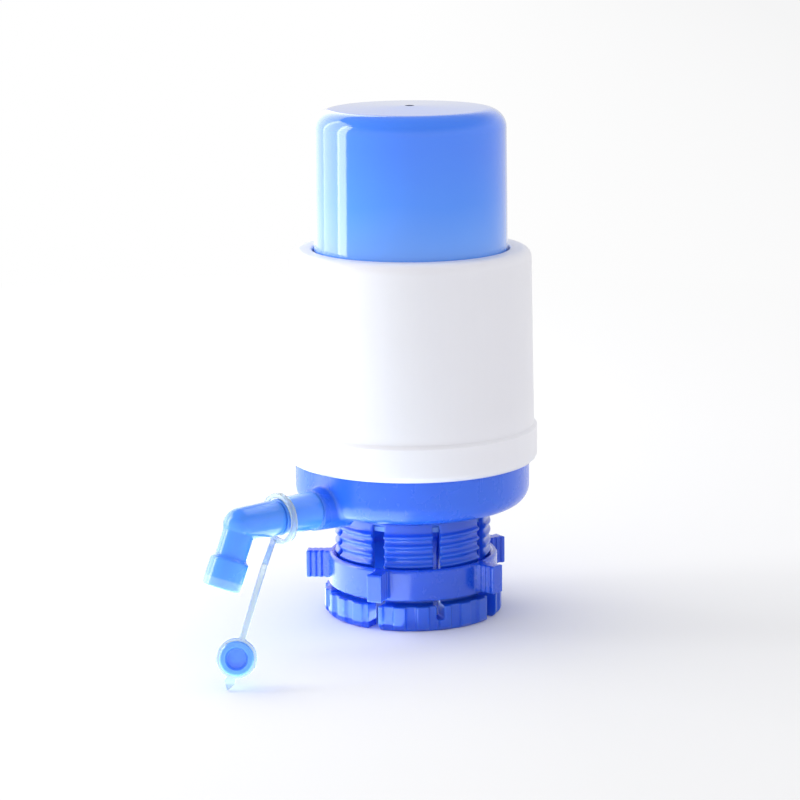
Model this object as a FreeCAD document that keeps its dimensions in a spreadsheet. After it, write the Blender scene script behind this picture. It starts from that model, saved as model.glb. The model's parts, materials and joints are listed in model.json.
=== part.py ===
import FreeCAD, Part
import Sketcher
import math
import os

# Hand pump for a large water jug.
# Frame: +Z up, origin on the pump axis at the bottom of the collet's foot.
# The spout leaves the base along the spout bearing, which is counted about +Z from -Y.
# Lengths are in millimetres and angles in degrees.

SIZES = (
    # neck collet: a sleeve of sprung petals that closes on the jug's crown
    ("grip_radius", 28.25, "radius of the petals' grip on the jug's crown"),
    ("grip_height", 23.0, "height of the grip, from the foot"),
    ("relief_radius", 29.0, "radius inside the collet above the grip"),
    ("petal_radius", 31.2, "outside radius of the petals at the thread's root"),
    ("thread_depth", 1.2, "depth of the buttress thread"),
    ("thread_pitch", 4.0, "pitch of the buttress thread"),
    ("foot_radius", 36.9, "radius of the scalloped foot"),
    ("foot_height", 10.3, "height of the scalloped foot"),
    ("foot_chamfer", 1.6, "chamfer round the bottom of the foot"),
    ("scallop_depth", 1.3, "depth of the hollows round the foot"),
    ("scallop_width", 4.6, "width of the hollows round the foot"),
    ("wide_slot", 5.4, "width of the four slots that run through the foot"),
    ("narrow_slot", 3.0, "width of the four slots that end in the foot"),
    ("collet_turn", -27.0, "angle of the first wide slot"),
    ("scallop_turn", 10.5, "angle from a wide slot to a hollow in the foot"),
    ("slot_top", 42.6, "height where the slots between the petals end"),
    # clamp nut
    ("nut_gap", 2.0, "gap between the foot and the clamp nut"),
    ("nut_height", 13.0, "height of the clamp nut"),
    ("nut_radius", 35.0, "outside radius of the nut's band"),
    ("nut_bore", 33.1, "radius inside the nut's band"),
    ("nut_tooth", 1.4, "depth of the nut's own thread ridges"),
    ("lug_reach", 44.4, "radius at the tips of the nut's lugs"),
    ("lug_thickness", 6.3, "thickness of a lug"),
    ("lug_height", 11.5, "height of a lug, down from the nut's top"),
    ("flute_radius", 0.7, "radius of the grip flutes down a lug's sides"),
    ("nut_turn", -21.0, "angle of the first lug"),
    # pump base
    ("bowl_radius", 48.3, "outside radius of the bowl"),
    ("bowl_wall", 2.4, "wall of the bowl"),
    ("bowl_bottom", 44.0, "height of the bowl's underside, which the collet butts on"),
    ("bowl_knuckle", 48.0, "height where the bowl's underside would meet its side"),
    ("bowl_round", 8.0, "rounding between the bowl's underside and its side"),
    ("rim_gap", 0.3, "gap between the bowl's rim and the housing's shoulder"),
    ("floor_thickness", 2.5, "thickness of the base's floor"),
    ("spigot_wall", 4.2, "width of the ring that the jug gasket seats on"),
    ("spigot_drop", 2.6, "drop of that ring below the underside"),
    ("nipple_radius", 5.0, "outside radius of the dip tube nipple"),
    ("nipple_bore", 3.4, "bore of the nipple and the water channel"),
    ("nipple_end", 27.0, "height of the nipple's open end"),
    ("post_radius", 6.8, "outside radius of the water channel's tube and post"),
    ("collar_inset", 1.1, "step from the bellows' valleys in to the collar below them"),
    ("collar_wall", 2.2, "wall of that collar"),
    ("collar_top", 67.0, "height of the collar's top"),
    # spout line
    ("spout_bearing", -49.0, "bearing of the spout"),
    ("spout_height", 51.0, "height of the spout's axis"),
    ("boss_length", 5.7, "length of the boss outside the bowl's side"),
    ("boss_radius", 8.4, "radius of the boss at its end"),
    ("boss_root", 9.3, "radius of the boss at its root"),
    ("boss_root_depth", 10.3, "depth of the boss's root inside the bowl's side"),
    ("socket_radius", 6.0, "radius of the socket in the boss"),
    ("socket_depth", 11.0, "depth of the socket in the boss"),
    ("sleeve_root", 7.8, "radius of the connector's sleeve at the boss"),
    ("sleeve_radius", 7.3, "radius of the sleeve at its shoulder"),
    ("sleeve_length", 17.7, "length of the sleeve"),
    ("neck_radius", 4.9, "radius of the connector's neck, which the spout turns on"),
    ("neck_length", 11.3, "length of the connector's neck"),
    ("neck_clearance", 0.05, "radial clearance of the spout on the neck"),
    ("neck_play", 0.6, "gap between the neck's end and the spout"),
    ("plug_play", 0.5, "gap between the connector's end and the socket's floor"),
    ("face_round", 0.6, "rounding of the sleeve's and the spout's facing edges"),
    ("ring_section", 0.9, "section of the O-rings"),
    ("spout_gap", 0.3, "gap between the sleeve's shoulder and the spout's end face"),
    ("spout_radius", 7.1, "outside radius of the spout's first leg"),
    ("first_leg", 18.0, "length of the spout's first leg, up to the elbow"),
    ("elbow_turn", 66.7, "turn of the elbow, downwards"),
    ("leg_radius", 6.3, "outside radius of the spout's second leg"),
    ("leg_length", 26.4, "length of the second leg, from the elbow to the mouth"),
    ("tip_radius", 7.9, "outside radius of the mouth's collar"),
    ("tip_length", 13.0, "length of the mouth's collar"),
    ("tip_slope", 1.4, "length of the slope up to that collar"),
    ("leg_bore", 4.4, "bore of the second leg"),
    ("mouth_radius", 6.05, "bore of the mouth"),
    ("mouth_depth", 9.0, "depth of the mouth"),
    ("mouth_slope", 1.0, "length of the slope from the leg's bore out to the mouth"),
    # tether and dust cap
    ("tether_inset", 1.3, "distance from the sleeve's shoulder in to the tether's ring"),
    ("tether_ring_radius", 10.4, "outside radius of the tether's ring"),
    ("tether_ring_hole", 8.4, "hole of the tether's ring"),
    ("tether_ring_width", 2.4, "width of the tether's ring along the spout"),
    ("tether_hang", 0.7, "how far the ring hangs below the spout's axis"),
    ("strap_width", 2.4, "width of the strap"),
    ("strap_thickness", 1.3, "thickness of the strap"),
    ("strap_sink", 0.2, "depth of the strap's middle line under the ring's outside"),
    ("strap_root", -24.0, "angle round the ring from its bottom to the strap's root"),
    ("strap_bearing", -2.3, "bearing in which the strap runs out"),
    ("strap_roll", -16.5, "sideways lean of the strap's bend"),
    ("strap_run", 38.9, "straight run of the strap before its bend"),
    ("strap_fall", 76.4, "angle at which the strap comes down to the cap"),
    ("plate_radius", 7.8, "radius of the plate round the dust cap"),
    ("plate_hole", 5.6, "hole in that plate"),
    ("plate_thickness", 1.6, "thickness of that plate"),
    ("tab_length", 5.0, "length of the pull tab past the plate"),
    ("tab_width", 4.4, "width of the pull tab"),
    ("plug_radius", 5.9, "radius of the dust cap's plug"),
    ("plug_length", 6.0, "length of the dust cap's plug"),
    ("head_radius", 6.7, "radius of the dust cap's head"),
    ("head_thickness", 2.2, "thickness of the dust cap's head"),
    ("dish_radius", 4.5, "radius of the dish in the dust cap's head"),
    ("dish_depth", 2.6, "depth of that dish"),
    # housing and press cap
    ("skirt_bottom", 65.0, "height of the housing's lower edge"),
    ("skirt_wall", 3.1, "wall of the housing's skirt"),
    ("skirt_round", 2.6, "rounding of the skirt's lower edge"),
    ("skirt_step", 1.2, "step from the skirt in to the housing's side"),
    ("shoulder_height", 79.0, "height of the shoulder that sits on the bowl's rim"),
    ("rib_height", 4.0, "height of the rib above that shoulder"),
    ("housing_top", 152.5, "height of the housing's top"),
    ("housing_draft", 1.2, "how far the housing's side leans in up to its top"),
    ("housing_wall", 2.3, "wall of the housing"),
    ("housing_round", 4.0, "rounding of the housing's top edge"),
    ("lip_gap", 0.7, "clearance of the press cap in the housing's opening"),
    ("lip_thickness", 2.8, "thickness of the housing's top"),
    ("fit_gap", 0.2, "clearance between the bowl and the housing's skirt"),
    ("cap_top", 210.2, "height of the press cap's crown"),
    ("cap_dome", 1.2, "rise of the crown over its edge"),
    ("cap_top_radius", 39.1, "radius of the press cap's side at its top"),
    ("cap_draft", 0.5, "how far the press cap's side leans out down to its flange"),
    ("cap_round", 8.0, "rounding of the press cap's top edge"),
    ("cap_wall", 2.2, "wall of the press cap"),
    ("vent_radius", 1.9, "radius of the air vent in the crown"),
    ("stop_slide", 0.7, "clearance round the flange that stops the press cap"),
    ("stop_thickness", 2.2, "thickness of that flange"),
    ("stop_gap", 0.4, "gap between that flange and the housing's top"),
    ("cap_collar_radius", 12.1, "outside radius of the collar under the crown"),
    ("cap_collar_wall", 2.0, "wall of that collar"),
    # bellows and valves
    ("bellows_gap", 1.1, "gap between the bellows' folds and the press cap"),
    ("fold_depth", 5.2, "depth of the bellows' folds"),
    ("bellows_wall", 1.0, "wall of the bellows"),
    ("bellows_top", 201.5, "height of the bellows' top plate"),
    ("bellows_mouth", 7.0, "height of the bellows' lower neck"),
    ("bellows_neck", 4.2, "height of the bellows' upper neck"),
    ("gasket_thickness", 1.8, "thickness of the jug gasket"),
    ("gasket_bore", 21.0, "hole of the jug gasket"),
    ("seal_thickness", 1.2, "thickness of the bellows' lower seal"),
    ("clamp_ring_wall", 2.0, "wall of the rings that clamp the bellows"),
    ("seat_flange", 8.0, "radius of a valve seat's flange"),
    ("seat_spigot", 6.4, "radius of a valve seat's spigot"),
    ("seat_flange_thickness", 1.2, "thickness of a valve seat's flange"),
    ("air_hole", 0.9, "radius of the air holes in a valve seat"),
    ("air_hole_at", 3.6, "radius of the circle that the air holes lie on"),
    ("stem_radius", 0.95, "radius of a valve's stem"),
    ("flap_radius", 5.2, "radius of a valve's flap"),
    ("flap_thickness", 0.8, "thickness of a valve's flap"),
)

PETAL_PAIRS = 4
SCALLOPS = 24
LUGS = 5
FLUTES_PER_SIDE = 3
BELLOWS_FOLDS = 10
AIR_HOLES = 6

JOIN = 0.5              # how far a feature reaches into the one that it joins
TIGHT = 0.05            # slack between pieces that are pressed together
LIE = 0.1               # slack between a soft seal and its seat
HAIR = 0.02             # slack between a ring or flap and the face that it lies on
SAME_PLACE = 1e-3


class Dim:
    """A length with its value now and the sheet expression that yields it."""

    def __init__(self, value, text=None):
        self.value = float(value)
        self.text = text if text is not None else repr(float(value))

    def __add__(self, other):
        other = dim(other)
        return Dim(self.value + other.value, f"({self.text} + {other.text})")

    def __sub__(self, other):
        other = dim(other)
        return Dim(self.value - other.value, f"({self.text} - {other.text})")

    def __mul__(self, other):
        other = dim(other)
        return Dim(self.value * other.value, f"({self.text} * {other.text})")

    def __truediv__(self, other):
        other = dim(other)
        return Dim(self.value / other.value, f"({self.text} / {other.text})")

    def __neg__(self):
        return Dim(-self.value, f"(-1 * {self.text})")

    __radd__ = __add__


def dim(number):
    """Give a plain number the form of a Dim."""
    return number if isinstance(number, Dim) else Dim(number)


class Sheet:
    """The spreadsheet of driving sizes; each alias reads as an attribute."""

    def __init__(self, document):
        self.page = document.addObject("Spreadsheet::Sheet", "Sizes")
        self.values = {}
        for row, (alias, value, note) in enumerate(SIZES, start=1):
            self.page.set(f"A{row}", note)
            self.page.set(f"B{row}", str(value))
            self.page.setAlias(f"B{row}", alias)
            self.values[alias] = value
        document.recompute()

    def __getattr__(self, alias):
        if alias not in self.values:
            raise AttributeError(alias)
        return Dim(self.values[alias], f"Sizes.{alias}")


doc = FreeCAD.newDocument("jug_pump")
S = Sheet(doc)
NODES = []

# Sizes that follow from the sheet's, so that neighbours keep their fit.
BOWL_RIM = S.shoulder_height - S.rim_gap
BOWL_INSIDE = S.bowl_radius - S.bowl_wall
SKIRT_RADIUS = S.bowl_radius + S.fit_gap + S.skirt_wall
SIDE_FOOT = SKIRT_RADIUS - S.skirt_step
HOUSING_TOP_RADIUS = SIDE_FOOT - S.housing_draft
HOUSING_TOP_INSIDE = HOUSING_TOP_RADIUS - S.housing_wall
CAP_RADIUS = S.cap_top_radius + S.cap_draft
LIP_RADIUS = CAP_RADIUS + S.lip_gap
STOP_RADIUS = HOUSING_TOP_INSIDE - S.stop_slide
BELLOWS_OUTER = S.cap_top_radius - S.cap_wall - S.bellows_gap
BELLOWS_INNER = BELLOWS_OUTER - S.fold_depth
COLLAR_RADIUS = BELLOWS_INNER - S.collar_inset
OUTLET_AT = (S.post_radius + COLLAR_RADIUS - S.collar_wall) / 2
BOSS_ROOT_AT = S.bowl_radius - S.boss_root_depth
BOSS_END = S.bowl_radius + S.boss_length
SLEEVE_END = BOSS_END + S.sleeve_length
TETHER_AT = SLEEVE_END - S.tether_inset
SPOUT_START = SLEEVE_END + S.spout_gap
ELBOW_AT = SPOUT_START + S.first_leg


# --- sketch and feature helpers ---------------------------------------------------

def add_body(label):
    """Start one sub-part."""
    body = doc.addObject("PartDesign::Body", label)
    body.Label = label
    NODES.append(body)
    return body


def add_sketch(body, role, name, shift=(0, 0, 0), spin=0.0, spin_axis=(0, 0, 1)):
    """Attach a sketch to one of the body's own origin planes, shifted and turned."""
    sketch = body.newObject("Sketcher::SketchObject", name)
    plane = next(item for item in body.Origin.OriginFeatures if item.Role == role)
    sketch.AttachmentSupport = [(plane, "")]
    sketch.MapMode = "FlatFace"
    place = [dim(part) for part in shift]
    turn = dim(spin)
    sketch.AttachmentOffset = FreeCAD.Placement(
        FreeCAD.Vector(*[part.value for part in place]),
        FreeCAD.Rotation(FreeCAD.Vector(*spin_axis), turn.value),
    )
    for axis, part in zip("xyz", place):
        if part.value:
            sketch.setExpression(f"AttachmentOffset.Base.{axis}", part.text)
    if turn.value:
        sketch.setExpression("AttachmentOffset.Rotation.Angle", turn.text)
    return sketch


def bind(sketch, kind, *where):
    """Add a constraint whose last item is a Dim, and tie it to the sheet."""
    size = where[-1]
    index = sketch.addConstraint(Sketcher.Constraint(kind, *where[:-1], size.value))
    sketch.setExpression(f"Constraints[{index}]", size.text)


def hold_point(sketch, geometry, end, x, y):
    """Hold a point at x, y from the sketch's origin."""
    for kind, size, axis in (("DistanceX", x, -2), ("DistanceY", y, -1)):
        if size.value == 0:
            sketch.addConstraint(Sketcher.Constraint("PointOnObject", geometry, end, axis))
        else:
            bind(sketch, kind, -1, 1, geometry, end, size)


def outline(sketch, corners):
    """Close an outline through its corners.

    A corner is (x, y), or (x, y, radius, bulge) where an arc of that radius leads on to
    the next corner, on the right of the way for a bulge of 1 and on its left for -1.
    """
    points = [(dim(corner[0]), dim(corner[1])) for corner in corners]
    ends = []
    for index, corner in enumerate(corners):
        here = points[index]
        there = points[(index + 1) % len(points)]
        start = FreeCAD.Vector(here[0].value, here[1].value, 0)
        stop = FreeCAD.Vector(there[0].value, there[1].value, 0)
        if len(corner) == 2:
            line = sketch.addGeometry(Part.LineSegment(start, stop), False)
            ends.append((line, 1, 2))
            continue
        radius = dim(corner[2])
        chord = stop - start
        rise = radius.value - math.sqrt(max(radius.value ** 2 - chord.Length ** 2 / 4, 0))
        side = FreeCAD.Vector(chord.y, -chord.x, 0).normalize() * corner[3]
        middle = (start + stop) * 0.5 + side * rise
        curve = Part.Arc(start, middle, stop)
        arc = sketch.addGeometry(curve, False)
        forward = sketch.Geometry[arc].StartPoint.distanceToPoint(start) < SAME_PLACE
        ends.append((arc, 1, 2) if forward else (arc, 2, 1))
        bind(sketch, "Radius", arc, radius)
    for index, (geometry, first, last) in enumerate(ends):
        following = ends[(index + 1) % len(ends)]
        sketch.addConstraint(
            Sketcher.Constraint("Coincident", geometry, last, following[0], following[1]))
        hold_point(sketch, geometry, first, *points[index])


def circle(sketch, x, y, radius):
    """Add a circle at x, y."""
    x, y, radius = dim(x), dim(y), dim(radius)
    centre = FreeCAD.Vector(x.value, y.value, 0)
    ring = sketch.addGeometry(
        Part.Circle(centre, FreeCAD.Vector(0, 0, 1), radius.value), False)
    bind(sketch, "Radius", ring, radius)
    hold_point(sketch, ring, 3, x, y)


def box(sketch, left, bottom, right, top):
    """Add a rectangle."""
    outline(sketch, [(left, bottom), (right, bottom), (right, top), (left, top)])


def revolve(body, name, sketch, axis="V_Axis", cut=False):
    """Turn a sketch about an axis of its own, to add or to cut."""
    kind = "PartDesign::Groove" if cut else "PartDesign::Revolution"
    feature = body.newObject(kind, name)
    feature.Profile = sketch
    feature.ReferenceAxis = (sketch, [axis])
    feature.Angle = 360
    finish(body, feature, cut)
    return feature


def extrude(body, name, sketch, length, cut=False):
    """Pad a sketch along its normal, or pocket along the same way."""
    kind = "PartDesign::Pocket" if cut else "PartDesign::Pad"
    length = dim(length)
    feature = body.newObject(kind, name)
    feature.Profile = sketch
    feature.Length = length.value
    feature.setExpression("Length", length.text)
    feature.Reversed = cut
    finish(body, feature, cut)
    return feature


def finish(body, feature, cut):
    """Recompute a feature and make sure that it did add or cut something."""
    before = None
    base = getattr(feature, "BaseFeature", None)
    doc.recompute()
    base = getattr(feature, "BaseFeature", base)
    if base is not None:
        before = base.Shape.Volume
        change = feature.Shape.Volume - before
        if (change > -SAME_PLACE) if cut else (change < SAME_PLACE):
            raise RuntimeError(f"{body.Label}.{feature.Name} changed nothing")


def repeat_round(body, name, feature, sketch, count):
    """Repeat a feature evenly round its sketch's normal through the sketch's origin."""
    pattern = body.newObject("PartDesign::PolarPattern", name)
    pattern.Originals = [feature]
    pattern.Axis = (sketch, ["N_Axis"])
    pattern.Angle = 360
    pattern.Occurrences = count
    body.Tip = pattern
    doc.recompute()
    return pattern


def round_edges(body, name, places, radius, kind="PartDesign::Fillet"):
    """Round, or chamfer, the circles about the body's own Z axis at (radius, height)."""
    base = body.Tip
    picked = []
    for number, edge in enumerate(base.Shape.Edges, start=1):
        if edge.Degenerated or not isinstance(edge.Curve, Part.Circle):
            continue
        curve = edge.Curve
        for reach, height in places:
            if (abs(curve.Radius - dim(reach).value) < SAME_PLACE
                    and abs(curve.Center.z - dim(height).value) < SAME_PLACE
                    and math.hypot(curve.Center.x, curve.Center.y) < SAME_PLACE):
                picked.append(f"Edge{number}")
    if not picked:
        raise RuntimeError(f"{body.Label}.{name} found no edge")
    feature = body.newObject(kind, name)
    feature.Base = (base, picked)
    size = "Radius" if kind.endswith("Fillet") else "Size"
    setattr(feature, size, dim(radius).value)
    feature.setExpression(size, dim(radius).text)
    body.Tip = feature
    doc.recompute()
    return feature


def lathe(label, corners):
    """A sub-part that is one outline turned about its own Z axis."""
    body = add_body(label)
    sketch = add_sketch(body, "XZ_Plane", f"{label}_outline")
    outline(sketch, corners)
    revolve(body, f"{label}_turn", sketch)
    return body


def turn(axis, degrees):
    """A rotation about an axis of the frame."""
    return FreeCAD.Rotation(FreeCAD.Vector(*axis), degrees)


# The spout's own frame: local Z runs out along the spout, local Y is up.
SPOUT_FRAME = FreeCAD.Placement(
    FreeCAD.Vector(0, 0, S.spout_height.value),
    turn((0, 0, 1), S.spout_bearing.value).multiply(turn((1, 0, 0), 90)),
)


def on_spout_axis(body):
    """Place a body whose own Z axis is the spout's axis."""
    body.Placement = SPOUT_FRAME
    body.setExpression("Placement.Base.z", S.spout_height.text)


# --- neck collet --------------------------------------------------------------------

THREAD_CREST = 0.7      # width of a ridge's crest
THREAD_FLANK = 0.9      # height of the ridge's long lower flank
THREAD_RETURN = 0.8     # height of its short upper flank


def thread_rows(bottom, top):
    """Heights of the collet's thread ridges between two heights."""
    ridge = THREAD_CREST + THREAD_FLANK + THREAD_RETURN
    start = S.foot_height + S.nut_gap + 0.6
    rows = []
    height = start
    while height.value + ridge < top.value:
        if height.value > bottom.value:
            rows.append(height)
        height = height + S.thread_pitch
    return rows


def make_neck_collet():
    """The sleeve of eight petals, threaded outside, with its scalloped foot."""
    body = add_body("neck_collet")
    root = S.petal_radius
    crest = S.petal_radius + S.thread_depth
    sketch = add_sketch(body, "XZ_Plane", "petal_outline")
    corners = [
        (S.grip_radius, 0),
        (S.foot_radius, 0),
        (S.foot_radius, S.foot_height),
        (root, S.foot_height),
    ]
    for height in thread_rows(S.foot_height, S.slot_top):
        corners += [
            (root, height),
            (crest, height + THREAD_FLANK),
            (crest, height + THREAD_FLANK + THREAD_CREST),
            (root, height + THREAD_FLANK + THREAD_CREST + THREAD_RETURN),
        ]
    corners += [
        (root, S.bowl_bottom),
        (S.relief_radius, S.bowl_bottom),
        (S.relief_radius, S.grip_height + S.relief_radius - S.grip_radius),
        (S.grip_radius, S.grip_height),
    ]
    outline(sketch, corners)
    revolve(body, "petal_turn", sketch)
    round_edges(body, "foot_edge", [(S.foot_radius, 0)], S.foot_chamfer,
                "PartDesign::Chamfer")

    hollow = add_sketch(body, "XY_Plane", "scallop_outline", spin=S.scallop_turn)
    half = S.scallop_width / 2
    slant = 0.4
    outline(hollow, [
        (-half + slant, -(S.foot_radius - S.scallop_depth)),
        (-half - slant, -(S.foot_radius + JOIN)),
        (half + slant, -(S.foot_radius + JOIN)),
        (half - slant, -(S.foot_radius - S.scallop_depth)),
    ])
    cut = extrude(body, "scallop", hollow, S.foot_height, cut=True)
    repeat_round(body, "scallops", cut, hollow, SCALLOPS)

    wide = add_sketch(body, "XY_Plane", "wide_slot_outline")
    box(wide, -(S.wide_slot / 2), -(S.foot_radius + JOIN),
        S.wide_slot / 2, -(S.grip_radius - JOIN))
    cut = extrude(body, "wide_slot_cut", wide, S.slot_top, cut=True)
    repeat_round(body, "wide_slots", cut, wide, PETAL_PAIRS)

    foot_window = S.foot_height * 0.45
    narrow = add_sketch(body, "XY_Plane", "narrow_slot_outline",
                        shift=(0, 0, foot_window), spin=180.0 / PETAL_PAIRS)
    box(narrow, -(S.narrow_slot / 2), -(S.foot_radius + JOIN),
        S.narrow_slot / 2, -(S.grip_radius - JOIN))
    cut = extrude(body, "narrow_slot_cut", narrow, S.slot_top - foot_window, cut=True)
    repeat_round(body, "narrow_slots", cut, narrow, PETAL_PAIRS)

    body.Placement = FreeCAD.Placement(FreeCAD.Vector(), turn((0, 0, 1), S.collet_turn.value))
    body.setExpression("Placement.Rotation.Angle", S.collet_turn.text)


# --- clamp nut ----------------------------------------------------------------------

def make_clamp_nut():
    """The ring that screws along the petals, with five lugs to turn it by."""
    body = add_body("clamp_nut")
    bottom = S.foot_height + S.nut_gap
    top = bottom + S.nut_height
    tip = S.nut_bore - S.nut_tooth
    ridge = THREAD_FLANK + THREAD_CREST + THREAD_RETURN
    gap_middle = (S.thread_pitch + ridge) / 2
    half_root = 0.8
    half_tip = 0.35
    sketch = add_sketch(body, "XZ_Plane", "nut_outline")
    corners = [
        (S.nut_bore, bottom),
        (S.nut_radius, bottom),
        (S.nut_radius, top - 0.8),
        (S.nut_radius - 0.7, top),
        (S.nut_bore, top),
    ]
    ridges = []
    for height in thread_rows(bottom, top):
        centre = height + gap_middle
        if centre.value + half_root < top.value:
            ridges.append(centre)
    for centre in reversed(ridges):
        corners += [
            (S.nut_bore, centre + half_root),
            (tip, centre + half_tip),
            (tip, centre - half_tip),
            (S.nut_bore, centre - half_root),
        ]
    outline(sketch, corners)
    revolve(body, "nut_turn_shape", sketch)

    lug = add_sketch(body, "XY_Plane", "lug_outline", shift=(0, 0, top - S.lug_height))
    box(lug, -(S.lug_thickness / 2), -S.lug_reach,
        S.lug_thickness / 2, -(S.nut_bore + JOIN))
    pad = extrude(body, "lug", lug, S.lug_height - 0.01)
    repeat_round(body, "lugs", pad, lug, LUGS)

    flute = add_sketch(body, "XY_Plane", "flute_outline", shift=(0, 0, top - S.lug_height))
    spacing = (S.lug_reach - S.nut_radius) / (FLUTES_PER_SIDE + 1)
    for side in (-1, 1):
        for number in range(1, FLUTES_PER_SIDE + 1):
            circle(flute, S.lug_thickness * (side / 2),
                   -(S.nut_radius + spacing * number), S.flute_radius)
    cut = extrude(body, "flute", flute, S.lug_height, cut=True)
    repeat_round(body, "flutes", cut, flute, LUGS)

    body.Placement = FreeCAD.Placement(FreeCAD.Vector(), turn((0, 0, 1), S.nut_turn.value))
    body.setExpression("Placement.Rotation.Angle", S.nut_turn.text)


# --- pump base ----------------------------------------------------------------------

def make_pump_base():
    """The bowl, with the water channel, its nipple, the bellows collar and the boss."""
    body = add_body("pump_base")
    floor = S.bowl_bottom
    floor_top = floor + S.floor_thickness
    lip = S.petal_radius + S.thread_depth + 0.2
    spigot = S.relief_radius - LIE
    slope = (S.bowl_knuckle - S.bowl_bottom) / (S.bowl_radius - lip)
    sketch = add_sketch(body, "XZ_Plane", "bowl_outline")
    outline(sketch, [
        (0, floor),
        (spigot - S.spigot_wall, floor),
        (spigot - S.spigot_wall, floor - S.spigot_drop),
        (spigot, floor - S.spigot_drop),
        (spigot, floor),
        (lip, floor),
        (S.bowl_radius, S.bowl_knuckle),
        (S.bowl_radius, BOWL_RIM),
        (BOWL_INSIDE, BOWL_RIM),
        (BOWL_INSIDE, S.bowl_knuckle + S.bowl_wall - slope * S.bowl_wall),
        (lip + S.bowl_wall, floor_top),
        (0, floor_top),
    ])
    revolve(body, "bowl", sketch)
    round_edges(body, "bowl_outer_round", [(S.bowl_radius, S.bowl_knuckle)], S.bowl_round)
    inner = S.bowl_knuckle + S.bowl_wall - slope * S.bowl_wall
    round_edges(body, "bowl_inner_round", [(BOWL_INSIDE, inner)], S.bowl_round - S.bowl_wall)

    collar = add_sketch(body, "XY_Plane", "collar_outline", shift=(0, 0, floor_top - JOIN))
    circle(collar, 0, 0, COLLAR_RADIUS)
    circle(collar, 0, 0, COLLAR_RADIUS - S.collar_wall)
    extrude(body, "bellows_collar", collar, S.collar_top - floor_top + JOIN)

    post = add_sketch(body, "XZ_Plane", "post_outline")
    outline(post, [
        (0, S.nipple_end),
        (S.nipple_radius, S.nipple_end),
        (S.nipple_radius, floor),
        (S.post_radius, floor + JOIN),
        (S.post_radius, S.spout_height, S.post_radius, 1),
        (0, S.spout_height + S.post_radius),
    ])
    revolve(body, "riser_post", post)

    channel = add_sketch(body, "YZ_Plane", "channel_outline", shift=(0, S.spout_height, 0))
    outline(channel, [
        (-BOSS_END, 0),
        (0, 0),
        (0, S.post_radius),
        (-BOSS_ROOT_AT, S.post_radius),
        (-BOSS_ROOT_AT, S.boss_root),
        (-BOSS_END, S.boss_radius),
    ])
    revolve(body, "channel_and_boss", channel, axis="H_Axis")

    water = add_sketch(body, "YZ_Plane", "water_outline", shift=(0, S.spout_height, 0))
    outline(water, [
        (-(BOSS_END + JOIN), 0),
        (0, 0),
        (0, S.nipple_bore),
        (-(BOSS_END - S.socket_depth), S.nipple_bore),
        (-(BOSS_END - S.socket_depth), S.socket_radius),
        (-(BOSS_END + JOIN), S.socket_radius),
    ])
    revolve(body, "water_channel", water, axis="H_Axis", cut=True)

    riser = add_sketch(body, "XY_Plane", "riser_outline", shift=(0, 0, S.nipple_end))
    circle(riser, 0, 0, S.nipple_bore)
    extrude(body, "riser_bore", riser, S.spout_height - S.nipple_end, cut=True)

    outlet = add_sketch(body, "XY_Plane", "outlet_outline", shift=(0, 0, floor))
    circle(outlet, 0, OUTLET_AT, S.seat_spigot + TIGHT)
    extrude(body, "outlet_hole", outlet, S.floor_thickness, cut=True)

    body.Placement = FreeCAD.Placement(
        FreeCAD.Vector(), turn((0, 0, 1), S.spout_bearing.value))
    body.setExpression("Placement.Rotation.Angle", S.spout_bearing.text)


# --- valves -------------------------------------------------------------------------

def make_valve_seat(label):
    """A flanged disc with air holes round the hole for the valve's stem.

    Its own origin is at the underside of the flange.
    """
    depth = S.floor_thickness
    body = lathe(label, [
        (0, -depth),
        (S.seat_spigot, -depth),
        (S.seat_spigot, 0),
        (S.seat_flange, 0),
        (S.seat_flange, S.seat_flange_thickness),
        (0, S.seat_flange_thickness),
    ])
    holes = add_sketch(body, "XY_Plane", f"{label}_stem_hole", shift=(0, 0, -depth))
    circle(holes, 0, 0, S.stem_radius + TIGHT)
    extrude(body, f"{label}_stem_cut", holes, depth + S.seat_flange_thickness, cut=True)
    air = add_sketch(body, "XY_Plane", f"{label}_air_hole", shift=(0, 0, -depth))
    circle(air, S.air_hole_at, 0, S.air_hole)
    cut = extrude(body, f"{label}_air_cut", air, depth + S.seat_flange_thickness, cut=True)
    repeat_round(body, f"{label}_air_holes", cut, air, AIR_HOLES)
    return body


def make_umbrella_valve(label):
    """A rubber flap on a stem with a bulb, in the same frame as its seat."""
    under = -(S.floor_thickness + HAIR)
    over = S.seat_flange_thickness + HAIR
    bulb = S.stem_radius * 1.6
    return lathe(label, [
        (0, under - S.flap_thickness * 1.3),
        (S.flap_radius * 0.4, under - S.flap_thickness * 1.3),
        (S.flap_radius, under - S.flap_thickness * 0.5),
        (S.flap_radius, under),
        (S.stem_radius, under),
        (S.stem_radius, over),
        (bulb, over),
        (bulb * 0.7, over + S.stem_radius * 1.5),
        (0, over + S.stem_radius * 1.5),
    ])


def make_valves():
    """The outlet valve in the base's floor and the intake valve under the crown."""
    floor_top = S.bowl_bottom + S.floor_thickness
    along = turn((0, 0, 1), S.spout_bearing.value)
    outlet = along.multVec(FreeCAD.Vector(0, OUTLET_AT.value, floor_top.value))
    intake = FreeCAD.Vector(0, 0, S.bellows_top.value)
    for name, spot, height in (
        ("outlet", outlet, floor_top),
        ("intake", intake, S.bellows_top),
    ):
        for piece in (make_valve_seat(f"{name}_valve_seat"),
                      make_umbrella_valve(f"{name}_valve")):
            piece.Placement = FreeCAD.Placement(spot, FreeCAD.Rotation())
            piece.setExpression("Placement.Base.z", height.text)


# --- bellows and what holds it ------------------------------------------------------

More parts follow.
